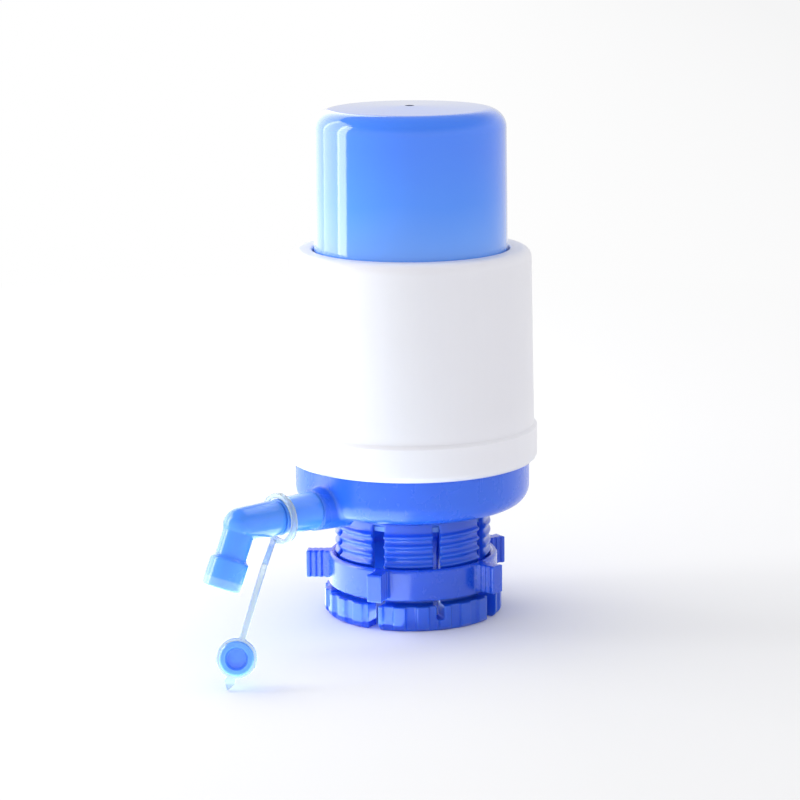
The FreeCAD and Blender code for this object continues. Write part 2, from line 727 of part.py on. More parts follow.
def make_bellows():
    """The folded bellows: lower neck over the base's collar, upper neck on the cap's."""
    low = S.collar_top + LIE
    neck_in = COLLAR_RADIUS + LIE
    neck_out = neck_in + S.bellows_wall
    first = low + 3.0
    top = S.bellows_top
    last = top - 3.0
    fold = (last - first) / BELLOWS_FOLDS
    wall = S.bellows_wall
    plate = S.floor_thickness
    outer = [(neck_out, low - S.bellows_mouth), (neck_out, low), (BELLOWS_INNER, first)]
    inner = [(neck_in, low - S.bellows_mouth), (neck_in, low),
             (BELLOWS_INNER - wall, first)]
    for number in range(BELLOWS_FOLDS):
        crest = first + fold * (number + 0.5)
        valley = first + fold * (number + 1)
        outer += [(BELLOWS_OUTER, crest), (BELLOWS_INNER, valley)]
        inner += [(BELLOWS_OUTER - wall, crest), (BELLOWS_INNER - wall, valley)]
    hole = S.seat_spigot + LIE
    upstand = S.cap_collar_radius + LIE
    upper = [
        (BELLOWS_INNER - wall, top),
        (upstand + wall, top),
        (upstand + wall, top + S.bellows_neck),
        (upstand, top + S.bellows_neck),
        (upstand, top),
        (hole, top),
        (hole, top - plate),
        (BELLOWS_INNER - wall * 2 - 0.4, top - plate),
    ]
    lathe("bellows", outer + upper + list(reversed(inner)))


def make_bellows_clamps():
    """The seal and the clamp ring at the lower neck, and the clip at the upper one."""
    low = S.collar_top + LIE - S.bellows_mouth
    inside = COLLAR_RADIUS + LIE
    outside = inside + S.bellows_wall + LIE
    lathe("bellows_seal", [
        (inside, low - LIE - S.seal_thickness),
        (outside + S.clamp_ring_wall, low - LIE - S.seal_thickness),
        (outside + S.clamp_ring_wall, low - LIE),
        (inside, low - LIE),
    ])
    lathe("bellows_clamp_ring", [
        (outside, low),
        (outside + S.clamp_ring_wall, low),
        (outside + S.clamp_ring_wall, low + S.bellows_mouth * 0.7),
        (outside, low + S.bellows_mouth * 0.7),
    ])
    neck = S.cap_collar_radius + S.bellows_wall + LIE * 2
    low = S.bellows_top + LIE
    lathe("bellows_clip_ring", [
        (neck, low),
        (neck + S.clamp_ring_wall, low),
        (neck + S.clamp_ring_wall, low + S.bellows_neck * 0.7),
        (neck, low + S.bellows_neck * 0.7),
    ])


# --- housing and press cap ----------------------------------------------------------

def make_outer_housing():
    """The outer housing: skirt over the bowl, drafted side and lipped top."""
    skirt_top = S.shoulder_height + S.skirt_step
    under = S.housing_top - S.lip_thickness
    rib_top = S.shoulder_height + S.rib_height
    rib = BOWL_INSIDE + 0.6
    body = lathe("outer_housing", [
        (S.bowl_radius + S.fit_gap, S.skirt_bottom),
        (SKIRT_RADIUS, S.skirt_bottom),
        (SKIRT_RADIUS, S.shoulder_height),
        (SIDE_FOOT, skirt_top),
        (HOUSING_TOP_RADIUS, S.housing_top),
        (LIP_RADIUS, S.housing_top),
        (LIP_RADIUS, under),
        (HOUSING_TOP_INSIDE, under),
        (SIDE_FOOT - S.housing_wall, rib_top + 1.6),
        (rib, rib_top),
        (rib, S.shoulder_height),
        (S.bowl_radius + S.fit_gap, S.shoulder_height),
    ])
    round_edges(body, "housing_top_round", [(HOUSING_TOP_RADIUS, S.housing_top)],
                S.housing_round)
    round_edges(body, "lip_round", [(LIP_RADIUS, S.housing_top)], S.lip_thickness * 0.3)
    round_edges(body, "skirt_round", [(SKIRT_RADIUS, S.skirt_bottom)], S.skirt_round)


def make_press_cap():
    """The press cap: domed crown with a vent, drafted side and a stop flange."""
    edge = S.cap_top - S.cap_dome
    flange_top = S.housing_top - S.lip_thickness - S.stop_gap
    flange_low = flange_top - S.stop_thickness
    inner_top = edge - S.cap_wall
    body = lathe("press_cap", [
        (S.vent_radius, inner_top),
        (S.vent_radius, S.cap_top),
        (S.cap_top_radius, edge),
        (CAP_RADIUS, flange_top),
        (STOP_RADIUS, flange_top),
        (STOP_RADIUS, flange_low),
        (CAP_RADIUS - S.cap_wall, flange_low),
        (S.cap_top_radius - S.cap_wall, inner_top),
    ])
    round_edges(body, "crown_round", [(S.cap_top_radius, edge)], S.cap_round)
    round_edges(body, "crown_inner_round", [(S.cap_top_radius - S.cap_wall, inner_top)],
                S.cap_round - S.cap_wall)

    collar = add_sketch(body, "XY_Plane", "cap_collar_outline", shift=(0, 0, S.bellows_top))
    circle(collar, 0, 0, S.cap_collar_radius)
    circle(collar, 0, 0, S.cap_collar_radius - S.cap_collar_wall)
    extrude(body, "cap_collar", collar, inner_top - S.bellows_top + JOIN)


# --- jug gasket ---------------------------------------------------------------------

def make_jug_gasket():
    """The soft ring that the jug's mouth seals on."""
    top = S.bowl_bottom - S.spigot_drop
    lathe("jug_gasket", [
        (S.gasket_bore, top - S.gasket_thickness),
        (S.relief_radius - LIE, top - S.gasket_thickness),
        (S.relief_radius - LIE, top),
        (S.gasket_bore, top),
    ])


# --- spout line ---------------------------------------------------------------------

CONNECTOR_GROOVE = 7.0  # from the sleeve's inner end back to the socket seal's groove
NECK_GROOVE = 6.0       # from the sleeve's shoulder to the swivel seal's groove


def make_connector():
    """The sleeve pressed into the boss, with the neck that the spout turns on."""
    groove = S.ring_section
    plug = S.socket_radius - TIGHT
    back = BOSS_END - S.socket_depth + S.plug_play
    face = BOSS_END
    seal = face - CONNECTOR_GROOVE
    swivel = SLEEVE_END + NECK_GROOVE
    end = SLEEVE_END + S.neck_length
    body = lathe("spout_connector", [
        (S.nipple_bore, back),
        (plug, back),
        (plug, seal - groove),
        (plug - groove, seal - groove),
        (plug - groove, seal + groove),
        (plug, seal + groove),
        (plug, face),
        (S.sleeve_root, face),
        (S.sleeve_radius, SLEEVE_END),
        (S.neck_radius, SLEEVE_END),
        (S.neck_radius, swivel - groove),
        (S.neck_radius - groove, swivel - groove),
        (S.neck_radius - groove, swivel + groove),
        (S.neck_radius, swivel + groove),
        (S.neck_radius, end),
        (S.nipple_bore, end),
    ])
    round_edges(body, "sleeve_round", [(S.sleeve_radius, SLEEVE_END)], S.face_round)
    on_spout_axis(body)
    for label, middle, outside in (
        ("connector_o_ring", seal, plug),
        ("swivel_o_ring", swivel, S.neck_radius),
    ):
        ring = add_body(label)
        sketch = add_sketch(ring, "XZ_Plane", f"{label}_section")
        half = groove / 2 - HAIR
        circle(sketch, outside - groove / 2, middle, half)
        revolve(ring, f"{label}_turn", sketch)
        on_spout_axis(ring)


def make_spout():
    """The elbow spout: a leg along the axis, a ball corner and a leg down to the mouth."""
    body = add_body("spout")
    leg = add_sketch(body, "XZ_Plane", "first_leg_outline")
    outline(leg, [
        (0, SPOUT_START),
        (S.spout_radius, SPOUT_START),
        (S.spout_radius, ELBOW_AT, S.spout_radius, 1),
        (0, ELBOW_AT + S.spout_radius),
    ])
    revolve(body, "first_leg", leg)
    round_edges(body, "spout_face_round", [(S.spout_radius, SPOUT_START)], S.face_round)

    elbow = dict(shift=(0, ELBOW_AT, 0), spin=S.elbow_turn)
    tip = S.leg_length - S.tip_length
    down = add_sketch(body, "YZ_Plane", "second_leg_outline", **elbow)
    outline(down, [
        (0, 0),
        (S.leg_radius, 0),
        (S.leg_radius, tip),
        (S.tip_radius, tip + S.tip_slope),
        (S.tip_radius, S.leg_length),
        (0, S.leg_length),
    ])
    revolve(body, "second_leg", down)

    neck_bore = S.neck_radius + S.neck_clearance
    neck_end = SLEEVE_END + S.neck_length + S.neck_play
    bore = add_sketch(body, "XZ_Plane", "neck_bore_outline")
    outline(bore, [
        (0, SPOUT_START - JOIN),
        (neck_bore, SPOUT_START - JOIN),
        (neck_bore, neck_end),
        (S.leg_bore, neck_end),
        (S.leg_bore, ELBOW_AT, S.leg_bore, 1),
        (0, ELBOW_AT + S.leg_bore),
    ])
    revolve(body, "neck_bore_cut", bore, cut=True)

    mouth = add_sketch(body, "YZ_Plane", "mouth_outline", **elbow)
    outline(mouth, [
        (0, 0),
        (S.leg_bore, 0),
        (S.leg_bore, S.leg_length - S.mouth_depth - S.mouth_slope),
        (S.mouth_radius, S.leg_length - S.mouth_depth),
        (S.mouth_radius, S.leg_length + JOIN),
        (0, S.leg_length + JOIN),
    ])
    revolve(body, "mouth_cut", mouth, cut=True)
    on_spout_axis(body)


# --- tether and dust cap ------------------------------------------------------------

def strap_layout():
    """Work out the strap's bend so that the tab's tip just reaches the ground.

    Returns the strap's frame, the bend's radius and the plate's frame. In the strap's
    frame local Y runs out of the ring and local Z points to the outside of the bend.
    """
    fall = math.radians(S.strap_fall.value)
    level = math.cos(math.radians(S.strap_roll.value))
    reach = S.tether_ring_radius.value - S.strap_sink.value
    around = math.radians(S.strap_root.value)
    root = SPOUT_FRAME.multVec(FreeCAD.Vector(
        reach * math.sin(around),
        -S.tether_hang.value - reach * math.cos(around),
        TETHER_AT.value,
    ))
    past = 2 * S.plate_radius.value - JOIN + S.tab_length.value
    tab_depth = S.plate_thickness.value / 2 * math.cos(fall)
    below = past * math.sin(fall) + tab_depth
    radius = (root.z / level - below) / (1 - math.cos(fall))
    frame = FreeCAD.Placement(
        root,
        turn((0, 0, 1), 180 + S.strap_bearing.value)
        .multiply(turn((0, 1, 0), S.strap_roll.value)),
    )
    end = FreeCAD.Vector(
        0,
        S.strap_run.value + radius * math.sin(fall),
        -radius * (1 - math.cos(fall)),
    )
    plate = FreeCAD.Placement(end, turn((1, 0, 0), -S.strap_fall.value)).multiply(
        FreeCAD.Placement(FreeCAD.Vector(0, -JOIN, 0), FreeCAD.Rotation()))
    return frame, radius, frame.multiply(plate)


def make_tether():
    """The loose ring on the spout, its strap, and the plate round the dust cap."""
    frame, radius, plate_frame = strap_layout()

    ring = lathe("tether_ring", [
        (S.tether_ring_hole, -(S.tether_ring_width / 2)),
        (S.tether_ring_radius, -(S.tether_ring_width / 2)),
        (S.tether_ring_radius, S.tether_ring_width / 2),
        (S.tether_ring_hole, S.tether_ring_width / 2),
    ])
    ring.Placement = SPOUT_FRAME.multiply(FreeCAD.Placement(
        FreeCAD.Vector(0, -S.tether_hang.value, TETHER_AT.value), FreeCAD.Rotation()))

    strap = add_body("tether_strap")
    section = add_sketch(strap, "XZ_Plane", "strap_section")
    half = S.strap_width / 2
    thin = S.strap_thickness / 2
    box(section, -half, -thin, half, thin)
    spine = add_sketch(strap, "YZ_Plane", "strap_spine")
    run = S.strap_run
    fall = math.radians(S.strap_fall.value)
    start = FreeCAD.Vector(0, 0, 0)
    corner = FreeCAD.Vector(run.value, 0, 0)
    straight = spine.addGeometry(Part.LineSegment(start, corner), False)
    bend = Part.ArcOfCircle(
        Part.Circle(FreeCAD.Vector(run.value, -radius, 0), FreeCAD.Vector(0, 0, 1), radius),
        math.pi / 2 - fall, math.pi / 2)
    arc = spine.addGeometry(bend, False)
    spine.addConstraint(Sketcher.Constraint("Coincident", straight, 1, -1, 1))
    spine.addConstraint(Sketcher.Constraint("Horizontal", straight))
    bind(spine, "DistanceX", straight, 1, straight, 2, run)
    spine.addConstraint(Sketcher.Constraint("Tangent", straight, 2, arc, 2))
    spine.addConstraint(Sketcher.Constraint("Radius", arc, radius))
    spine.addConstraint(Sketcher.Constraint(
        "DistanceX", straight, 2, arc, 1, radius * math.sin(fall)))
    pipe = strap.newObject("PartDesign::AdditivePipe", "strap_sweep")
    pipe.Profile = section
    pipe.Spine = (spine, ["Edge1", "Edge2"])
    doc.recompute()
    strap.Placement = frame

    plate = add_body("tether_plate")
    edge = add_sketch(plate, "XY_Plane", "plate_outline",
                      shift=(0, 0, -(S.plate_thickness / 2)))
    circle(edge, 0, S.plate_radius, S.plate_radius)
    circle(edge, 0, S.plate_radius, S.plate_hole)
    extrude(plate, "plate_pad", edge, S.plate_thickness)
    tab = add_sketch(plate, "XY_Plane", "tab_outline",
                     shift=(0, 0, -(S.plate_thickness / 2)))
    near = S.plate_radius * 2 - 0.6
    far = S.plate_radius * 2 + S.tab_length
    wide = S.tab_width / 2
    outline(tab, [
        (-(wide * 0.7), near),
        (wide * 0.7, near),
        (wide, near + S.tab_length * 0.45),
        (0, far),
        (-wide, near + S.tab_length * 0.45),
    ])
    extrude(plate, "tab_pad", tab, S.plate_thickness)
    plate.Placement = plate_frame

    for piece in (ring, strap, plate):
        NODES.remove(piece)
    tether = doc.addObject("Part::MultiFuse", "tether")
    tether.Label = "tether"
    tether.Shapes = [ring, strap, plate]
    tether.Refine = False
    NODES.append(tether)

    # The dust cap is clipped through the plate's hole; its head faces outwards.
    head_low = S.plate_thickness / 2 + TIGHT
    plug_high = -(S.plate_thickness / 2) - TIGHT
    waist = S.plate_hole - TIGHT
    cap = lathe("dust_cap", [
        (0, plug_high - S.plug_length),
        (S.plug_radius - 0.5, plug_high - S.plug_length),
        (S.plug_radius, plug_high - S.plug_length + 1.0),
        (S.plug_radius, plug_high),
        (waist, plug_high),
        (waist, head_low),
        (S.head_radius, head_low),
        (S.head_radius, head_low + S.head_thickness - 0.6),
        (S.head_radius - 0.6, head_low + S.head_thickness),
        (S.dish_radius, head_low + S.head_thickness),
        (S.dish_radius - 0.9, head_low + S.head_thickness - S.dish_depth),
        (0, head_low + S.head_thickness - S.dish_depth),
    ])
    cap.Placement = plate_frame.multiply(FreeCAD.Placement(
        FreeCAD.Vector(0, S.plate_radius.value, 0), FreeCAD.Rotation()))


# --- build, test and write ----------------------------------------------------------

def check_document():
    """Stop if an object failed or a sub-part's shape is empty or not valid."""
    for item in doc.Objects:
        if {"Invalid", "Error"} & set(item.State):
            raise RuntimeError(f"{item.Label} failed: {item.State}")
    for node in NODES:
        shape = node.Shape
        if shape.isNull() or not shape.isValid() or not shape.Solids:
            raise RuntimeError(f"{node.Label} has no valid shape")


make_neck_collet()
make_clamp_nut()
make_pump_base()
make_valves()
make_bellows()
make_bellows_clamps()
make_outer_housing()
make_press_cap()
make_jug_gasket()
make_connector()
make_spout()
make_tether()
doc.recompute()
check_document()

os.makedirs("parts", exist_ok=True)
for node in NODES:
    node.Shape.exportStep(os.path.join("parts", f"{node.Label}.step"))
    box_now = node.Shape.BoundBox
    print(f"{node.Label}: {len(node.Shape.Solids)} solid, {node.Shape.Volume:.0f} mm3, "
          f"z {box_now.ZMin:.2f} to {box_now.ZMax:.2f}")
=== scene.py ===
"""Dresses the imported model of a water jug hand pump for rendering.

The frame is the pump's own: metres, +Z up the pump's axis, origin under the collet's foot.
"""

from __future__ import annotations

import json
import logging
import math
from dataclasses import dataclass
from enum import Enum
from typing import Any, Callable, Generic, TypeVar

import bmesh
import bpy
from mathutils import Matrix, Vector

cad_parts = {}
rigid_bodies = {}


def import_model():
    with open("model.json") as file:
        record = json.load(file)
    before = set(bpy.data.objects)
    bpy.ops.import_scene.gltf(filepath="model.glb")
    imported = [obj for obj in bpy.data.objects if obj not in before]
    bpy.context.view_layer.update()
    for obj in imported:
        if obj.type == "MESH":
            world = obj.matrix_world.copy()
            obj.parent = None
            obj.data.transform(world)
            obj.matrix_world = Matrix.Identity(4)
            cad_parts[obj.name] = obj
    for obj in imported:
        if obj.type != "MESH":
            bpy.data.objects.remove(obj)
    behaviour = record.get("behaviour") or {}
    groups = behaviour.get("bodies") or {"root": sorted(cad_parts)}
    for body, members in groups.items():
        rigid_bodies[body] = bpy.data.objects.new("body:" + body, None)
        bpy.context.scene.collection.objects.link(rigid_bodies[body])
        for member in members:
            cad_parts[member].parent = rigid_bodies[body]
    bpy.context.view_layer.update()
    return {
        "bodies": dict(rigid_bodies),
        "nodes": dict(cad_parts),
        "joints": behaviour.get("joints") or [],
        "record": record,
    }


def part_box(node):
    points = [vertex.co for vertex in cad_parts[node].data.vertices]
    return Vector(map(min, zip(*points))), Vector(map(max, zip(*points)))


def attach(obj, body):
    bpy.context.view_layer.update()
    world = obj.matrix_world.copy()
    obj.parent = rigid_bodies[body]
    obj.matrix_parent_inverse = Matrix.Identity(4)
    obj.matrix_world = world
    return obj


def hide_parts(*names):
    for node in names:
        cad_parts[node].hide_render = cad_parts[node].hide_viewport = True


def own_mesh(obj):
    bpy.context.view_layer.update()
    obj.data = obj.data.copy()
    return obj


LOG = logging.getLogger("jug_pump")
MM = 0.001
WELD_GAP = 0.001 * MM
RING_GAP = 20 * WELD_GAP
UP = Vector((0.0, 0.0, 1.0))

Colour = tuple[float, float, float]
Triple = tuple[float, float, float]
Owner = TypeVar("Owner", bpy.types.Material, bpy.types.World)


# --- shader building -----------------------------------------------------------------


class Wire:
    """An output socket on which arithmetic adds Math nodes."""

    def __init__(self, shader: "Shader", socket: bpy.types.NodeSocket) -> None:
        """Wrap a socket.

        Args:
            shader: The shader that the socket belongs to.
            socket: The output socket to wrap.
        """
        self.shader = shader
        self.socket = socket

    def _math(self, operation: str, *operands: "Wire | float") -> "Wire":
        """Add one Math node.

        Args:
            operation: The Math node's operation.
            operands: Its inputs in order, wires or plain numbers.

        Returns:
            The node's output.
        """
        node = self.shader.add("ShaderNodeMath", {"operation": operation},
                               dict(enumerate(operands)))
        return self.shader.wire(node, "Value")

    def __add__(self, other: "Wire | float") -> "Wire":
        """Sum."""
        return self._math("ADD", self, other)

    def __radd__(self, other: float) -> "Wire":
        """Sum, reflected."""
        return self._math("ADD", other, self)

    def __sub__(self, other: "Wire | float") -> "Wire":
        """Difference."""
        return self._math("SUBTRACT", self, other)

    def __rsub__(self, other: float) -> "Wire":
        """Difference, reflected."""
        return self._math("SUBTRACT", other, self)

    def __mul__(self, other: "Wire | float") -> "Wire":
        """Product."""
        return self._math("MULTIPLY", self, other)

    def __rmul__(self, other: float) -> "Wire":
        """Product, reflected."""
        return self._math("MULTIPLY", other, self)

    def above(self, level: float, soft: float) -> "Wire":
        """Step up softly from 0 to 1.

        Args:
            level: Value at which the step starts.
            soft: Width of the step.

        Returns:
            The clamped step.
        """
        node = self.shader.add("ShaderNodeMapRange", {"clamp": True}, Value=self,
                               From_Min=level, From_Max=level + soft)
        return self.shader.wire(node, "Result")


class Shader(Generic[Owner]):
    """Builds the nodes of one material or world."""

    EDGE_SAMPLES = 6
    MIX_FACTOR = 0
    MIX_LOW = 6
    MIX_HIGH = 7
    MIX_RESULT = 2

    def __init__(self, owner: Owner) -> None:
        """Start without nodes.

        Args:
            owner: The material or world that gets the nodes.
        """
        self.owner = owner
        owner.use_nodes = True
        self.tree = owner.node_tree
        self.tree.nodes.clear()

    def feed(self, slot: bpy.types.NodeSocket, value: Any) -> None:
        """Link a wire to a socket, or set the socket's own value.

        Args:
            slot: The input socket.
            value: A wire, a number, a vector or a colour.
        """
        if isinstance(value, Wire):
            self.tree.links.new(value.socket, slot)
        elif slot.type == "RGBA":
            slot.default_value = (*value, 1.0)
        else:
            slot.default_value = value

    def add(self, kind: str, settings: dict[str, Any] | None = None,
            sockets: dict[int, Any] | None = None, **inputs: Any) -> bpy.types.Node:
        """Add a node.

        Args:
            kind: The node's type.
            settings: Properties of the node, set first.
            sockets: Values or wires by a socket's number, where sockets share a name.
            inputs: Values or wires by a socket's name; an underscore stands for a space.

        Returns:
            The new node.
        """
        node = self.tree.nodes.new(kind)
        for key, value in (settings or {}).items():
            setattr(node, key, value)
        for number, value in (sockets or {}).items():
            self.feed(node.inputs[number], value)
        for key, value in inputs.items():
            self.feed(node.inputs[key.replace("_", " ")], value)
        return node

    def wire(self, node: bpy.types.Node, output: str | int = 0) -> Wire:
        """Wrap one of a node's outputs."""
        return Wire(self, node.outputs[output])

    def place(self, stretch: Triple = (1.0, 1.0, 1.0)) -> Wire:
        """Give the piece's own coordinates, stretched along the axes.

        Args:
            stretch: Factor along each axis.

        Returns:
            The coordinate vector.
        """
        where = self.wire(self.add("ShaderNodeTexCoord"), "Object")
        mapping = self.add("ShaderNodeMapping", Vector=where, Scale=stretch)
        return self.wire(mapping, "Vector")

    def noise(self, scale: float, detail: float = 2.0, rough: float = 0.5,
              stretch: Triple = (1.0, 1.0, 1.0)) -> Wire:
        """Add a noise pattern.

        Args:
            scale: Patches per metre.
            detail: Octaves.
            rough: Strength of the finer octaves.
            stretch: Stretch of the coordinates along each axis.

        Returns:
            The noise value, about 0.5 on average.
        """
        node = self.add("ShaderNodeTexNoise", Vector=self.place(stretch), Scale=scale,
                        Detail=detail, Roughness=rough)
        return self.wire(node, "Fac")

    def blend(self, factor: Wire, low: Wire | Colour, high: Wire | Colour) -> Wire:
        """Mix two colours.

        Args:
            factor: Share of the second colour.
            low: First colour.
            high: Second colour.

        Returns:
            The mixed colour.
        """
        node = self.add("ShaderNodeMix", {"data_type": "RGBA"},
                        {self.MIX_FACTOR: factor, self.MIX_LOW: low, self.MIX_HIGH: high})
        return self.wire(node, self.MIX_RESULT)

    def bump(self, height: Wire, strength: float, depth: float,
             normal: Wire | None = None) -> Wire:
        """Turn a height pattern into a normal.

        Args:
            height: The height pattern.
            strength: Share of the effect.
            depth: Depth of the pattern in metres.
            normal: The normal that the pattern bends, or none for the surface's own.

        Returns:
            The bent normal.
        """
        node = self.add("ShaderNodeBump", Height=height, Strength=strength, Distance=depth)
        if normal is not None:
            self.feed(node.inputs["Normal"], normal)
        return self.wire(node, "Normal")

    def vector(self, operation: str, *vectors: Wire | Triple) -> Wire:
        """Add a Vector Math node that gives a number.

        Args:
            operation: The node's operation.
            vectors: Its inputs in order, wires or plain numbers.

        Returns:
            The number.
        """
        node = self.add("ShaderNodeVectorMath", {"operation": operation},
                        dict(enumerate(vectors)))
        return self.wire(node, "Value")

    def soft_edges(self, radius: float) -> Wire:
        """Give the surface's normal with its edges rounded.

        Args:
            radius: Radius of the rounding in metres.

        Returns:
            The rounded normal.
        """
        node = self.add("ShaderNodeBevel", {"samples": self.EDGE_SAMPLES}, Radius=radius)
        return self.wire(node, "Normal")

    def edge_mask(self, rounded: Wire, level: float = 0.02, soft: float = 0.12) -> Wire:
        """Find the edges, where the rounded normal leaves the true one.

        Args:
            rounded: The rounded normal.
            level: Departure at which the mask starts.
            soft: Departure over which it grows to 1.

        Returns:
            The mask, 1 on the edges.
        """
        true_normal = self.wire(self.add("ShaderNodeNewGeometry"), "Normal")
        return (1.0 - self.vector("DOT_PRODUCT", rounded, true_normal)).above(level, soft)

    def finish(self, surface: Wire, output: str = "ShaderNodeOutputMaterial") -> Owner:
        """Send a surface to the output and hand over the material or world."""
        self.add(output, Surface=surface)
        return self.owner


# --- finishes ------------------------------------------------------------------------


@dataclass(frozen=True)
class MouldedPlastic:
    """Injection-moulded plastic with flow marks, handling haze and a painted highlight on its
    rounded edges.
    """

    name: str
    tone: Colour
    deep_tone: Colour
    # Painted highlight: the paler tone blended onto the rounded edges.
    painted_edge_tone: Colour
    roughness: float = 0.22
    haze: float = 0.10
    coat: float = 0.8
    coat_roughness: float = 0.12
    refraction: float = 1.5
    glow: float = 0.35
    glow_depth: float = 6.0 * MM
    glow_reach: Triple = (0.6, 0.8, 1.0)
    clear: float = 0.0
    cloud_scale: float = 22.0
    cloud_share: float = 0.65
    flow_scale: float = 95.0
    flow_share: float = 0.35
    flow_stretch: Triple = (1.0, 1.0, 0.18)
    edge_radius: float = 0.45 * MM
    # Share of the painted edge highlight.
    painted_edge_share: float = 0.55
    edge_least: float = 0.6
    edge_flow: float = 0.8
    smudge_scale: float = 48.0
    rub_scale: float = 260.0
    rub_stretch: Triple = (1.0, 6.0, 0.25)
    scuff_scale: float = 240.0
    scuff_stretch: Triple = (5.0, 0.4, 1.6)
    scratch_haze: float = 0.03
    peel: float = 0.05
    peel_scale: float = 620.0
    peel_depth: float = 0.2 * MM

    def base_colour(self, shader: Shader, rounded: Wire) -> Wire:
        """Mix the plastic's tones: clouded inside, streaked by its flow, with a painted
        highlight at the edges.

        Args:
            shader: The material being built.
            rounded: Its edge-rounded normal.

        Returns:
            The colour.
        """
        clouds = shader.noise(self.cloud_scale, detail=3.0)
        flow = shader.noise(self.flow_scale, detail=3.0, rough=0.6,
                            stretch=self.flow_stretch)
        mottle = clouds * self.cloud_share + flow * self.flow_share
        body = shader.blend(mottle, self.deep_tone, self.tone)
        # Painted highlight: the edges are blended towards a paler tone, varied by the flow.
        edges = shader.edge_mask(rounded) * (self.edge_least + flow * self.edge_flow)
        return shader.blend(edges * self.painted_edge_share, body, self.painted_edge_tone)

    def make(self) -> bpy.types.Material:
        """Build the material.

        Returns:
            The finished material.
        """
        shader = Shader(bpy.data.materials.new(self.name))
        rounded = shader.soft_edges(self.edge_radius)
        base = self.base_colour(shader, rounded)
        smudge = shader.noise(self.smudge_scale, detail=4.0, rough=0.62)
        rub = shader.noise(self.rub_scale, stretch=self.rub_stretch)
        scuff = shader.noise(self.scuff_scale, stretch=self.scuff_stretch)
        scratches = rub.above(level=0.62, soft=0.16) + scuff.above(level=0.63, soft=0.16)
        rough = (self.roughness + smudge.above(level=0.46, soft=0.2) * self.haze
                 + scratches * self.scratch_haze)
        peel = shader.noise(self.peel_scale)
        surface = shader.add(
            "ShaderNodeBsdfPrincipled",
            Base_Color=base,
            Roughness=rough,
            IOR=self.refraction,
            Subsurface_Weight=self.glow,
            Subsurface_Radius=self.glow_reach,
            Subsurface_Scale=self.glow_depth,
            Transmission_Weight=self.clear,
            Coat_Weight=self.coat,
            Coat_Roughness=self.coat_roughness,
            Normal=shader.bump(peel, self.peel, self.peel_depth, rounded),
        )
        return shader.finish(shader.wire(surface))


@dataclass(frozen=True)
class CapPlastic(MouldedPlastic):
    """The press cap's plastic, with painted shade deepening the crown, painted light paling
    the lower side, and a painted dark vent.
    """

    # Painted shade: a deeper tone graded onto the crown by height.
    painted_crown_shade: Colour = (0.040, 0.205, 0.98)
    crown_share: float = 0.7
    crown_foot: float = 178.0 * MM
    crown_rise: float = 22.0 * MM
    # Painted light: a paler tone graded onto the lower side by height.
    painted_skirt_light: Colour = (0.165, 0.405, 1.0)
    skirt_share: float = 0.9
    skirt_foot: float = 150.0 * MM
    skirt_rise: float = 28.0 * MM
    waver: float = 8.0 * MM
    waver_scale: float = 30.0
    # Painted shade: the vent hole is painted near black.
    painted_vent_shade: Colour = (0.004, 0.016, 0.080)
    vent_reach: float = 1.95 * MM
    vent_blend: float = 0.1 * MM

    def base_colour(self, shader: Shader, rounded: Wire) -> Wire:
        """Grade the plastic's tones by height up the cap as painted light and shade, with a
        painted dark vent.

        Args:
            shader: The material being built.
            rounded: Its edge-rounded normal.

        Returns:
            The colour.
        """
        body = super().base_colour(shader, rounded)
        where = shader.add("ShaderNodeSeparateXYZ", Vector=shader.place())
        height = shader.wire(where, "Z") + shader.noise(self.waver_scale) * self.waver
        # Painted light on the lower side and painted shade on the crown, graded by height.
        skirt = 1.0 - height.above(self.skirt_foot, self.skirt_rise)
        crown = height.above(self.crown_foot, self.crown_rise)
        body = shader.blend(skirt * self.skirt_share, body, self.painted_skirt_light)
        body = shader.blend(crown * self.crown_share, body, self.painted_crown_shade)
        # Painted shade: near black inside the vent hole.
        away = shader.vector("LENGTH", shader.place(stretch=(1.0, 1.0, 0.0)))
        return shader.blend(away.above(self.vent_reach, self.vent_blend),
                            self.painted_vent_shade, body)


@dataclass(frozen=True)
class SpoutPlastic(MouldedPlastic):
    """The spout's plastic, paler where the wall thins out to a clear lip at the mouth."""

    mouth: Triple = (0.0, 0.0, 0.0)
    outward: Triple = (0.0, 0.0, -1.0)
    lip_tone: Colour = (0.22, 0.40, 0.95)
    lip_share: float = 0.8
    lip_depth: float = 3.6 * MM
    lip_blend: float = 0.8 * MM
    ripple: float = 1.2 * MM
    ripple_scale: float = 160.0

    def base_colour(self, shader: Shader, rounded: Wire) -> Wire:
        """Add the clear lip to the plastic's tones.

        Args:
            shader: The material being built.
            rounded: Its edge-rounded normal.

        Returns:
            The colour.
        """
        body = super().base_colour(shader, rounded)
        reach = sum(a * b for a, b in zip(self.mouth, self.outward))
        ripple = shader.noise(self.ripple_scale) * self.ripple
        along = shader.vector("DOT_PRODUCT", shader.place(), self.outward) + ripple
        lip = along.above(reach - self.lip_depth, self.lip_blend)
        return shader.blend(lip * self.lip_share, body, self.lip_tone)


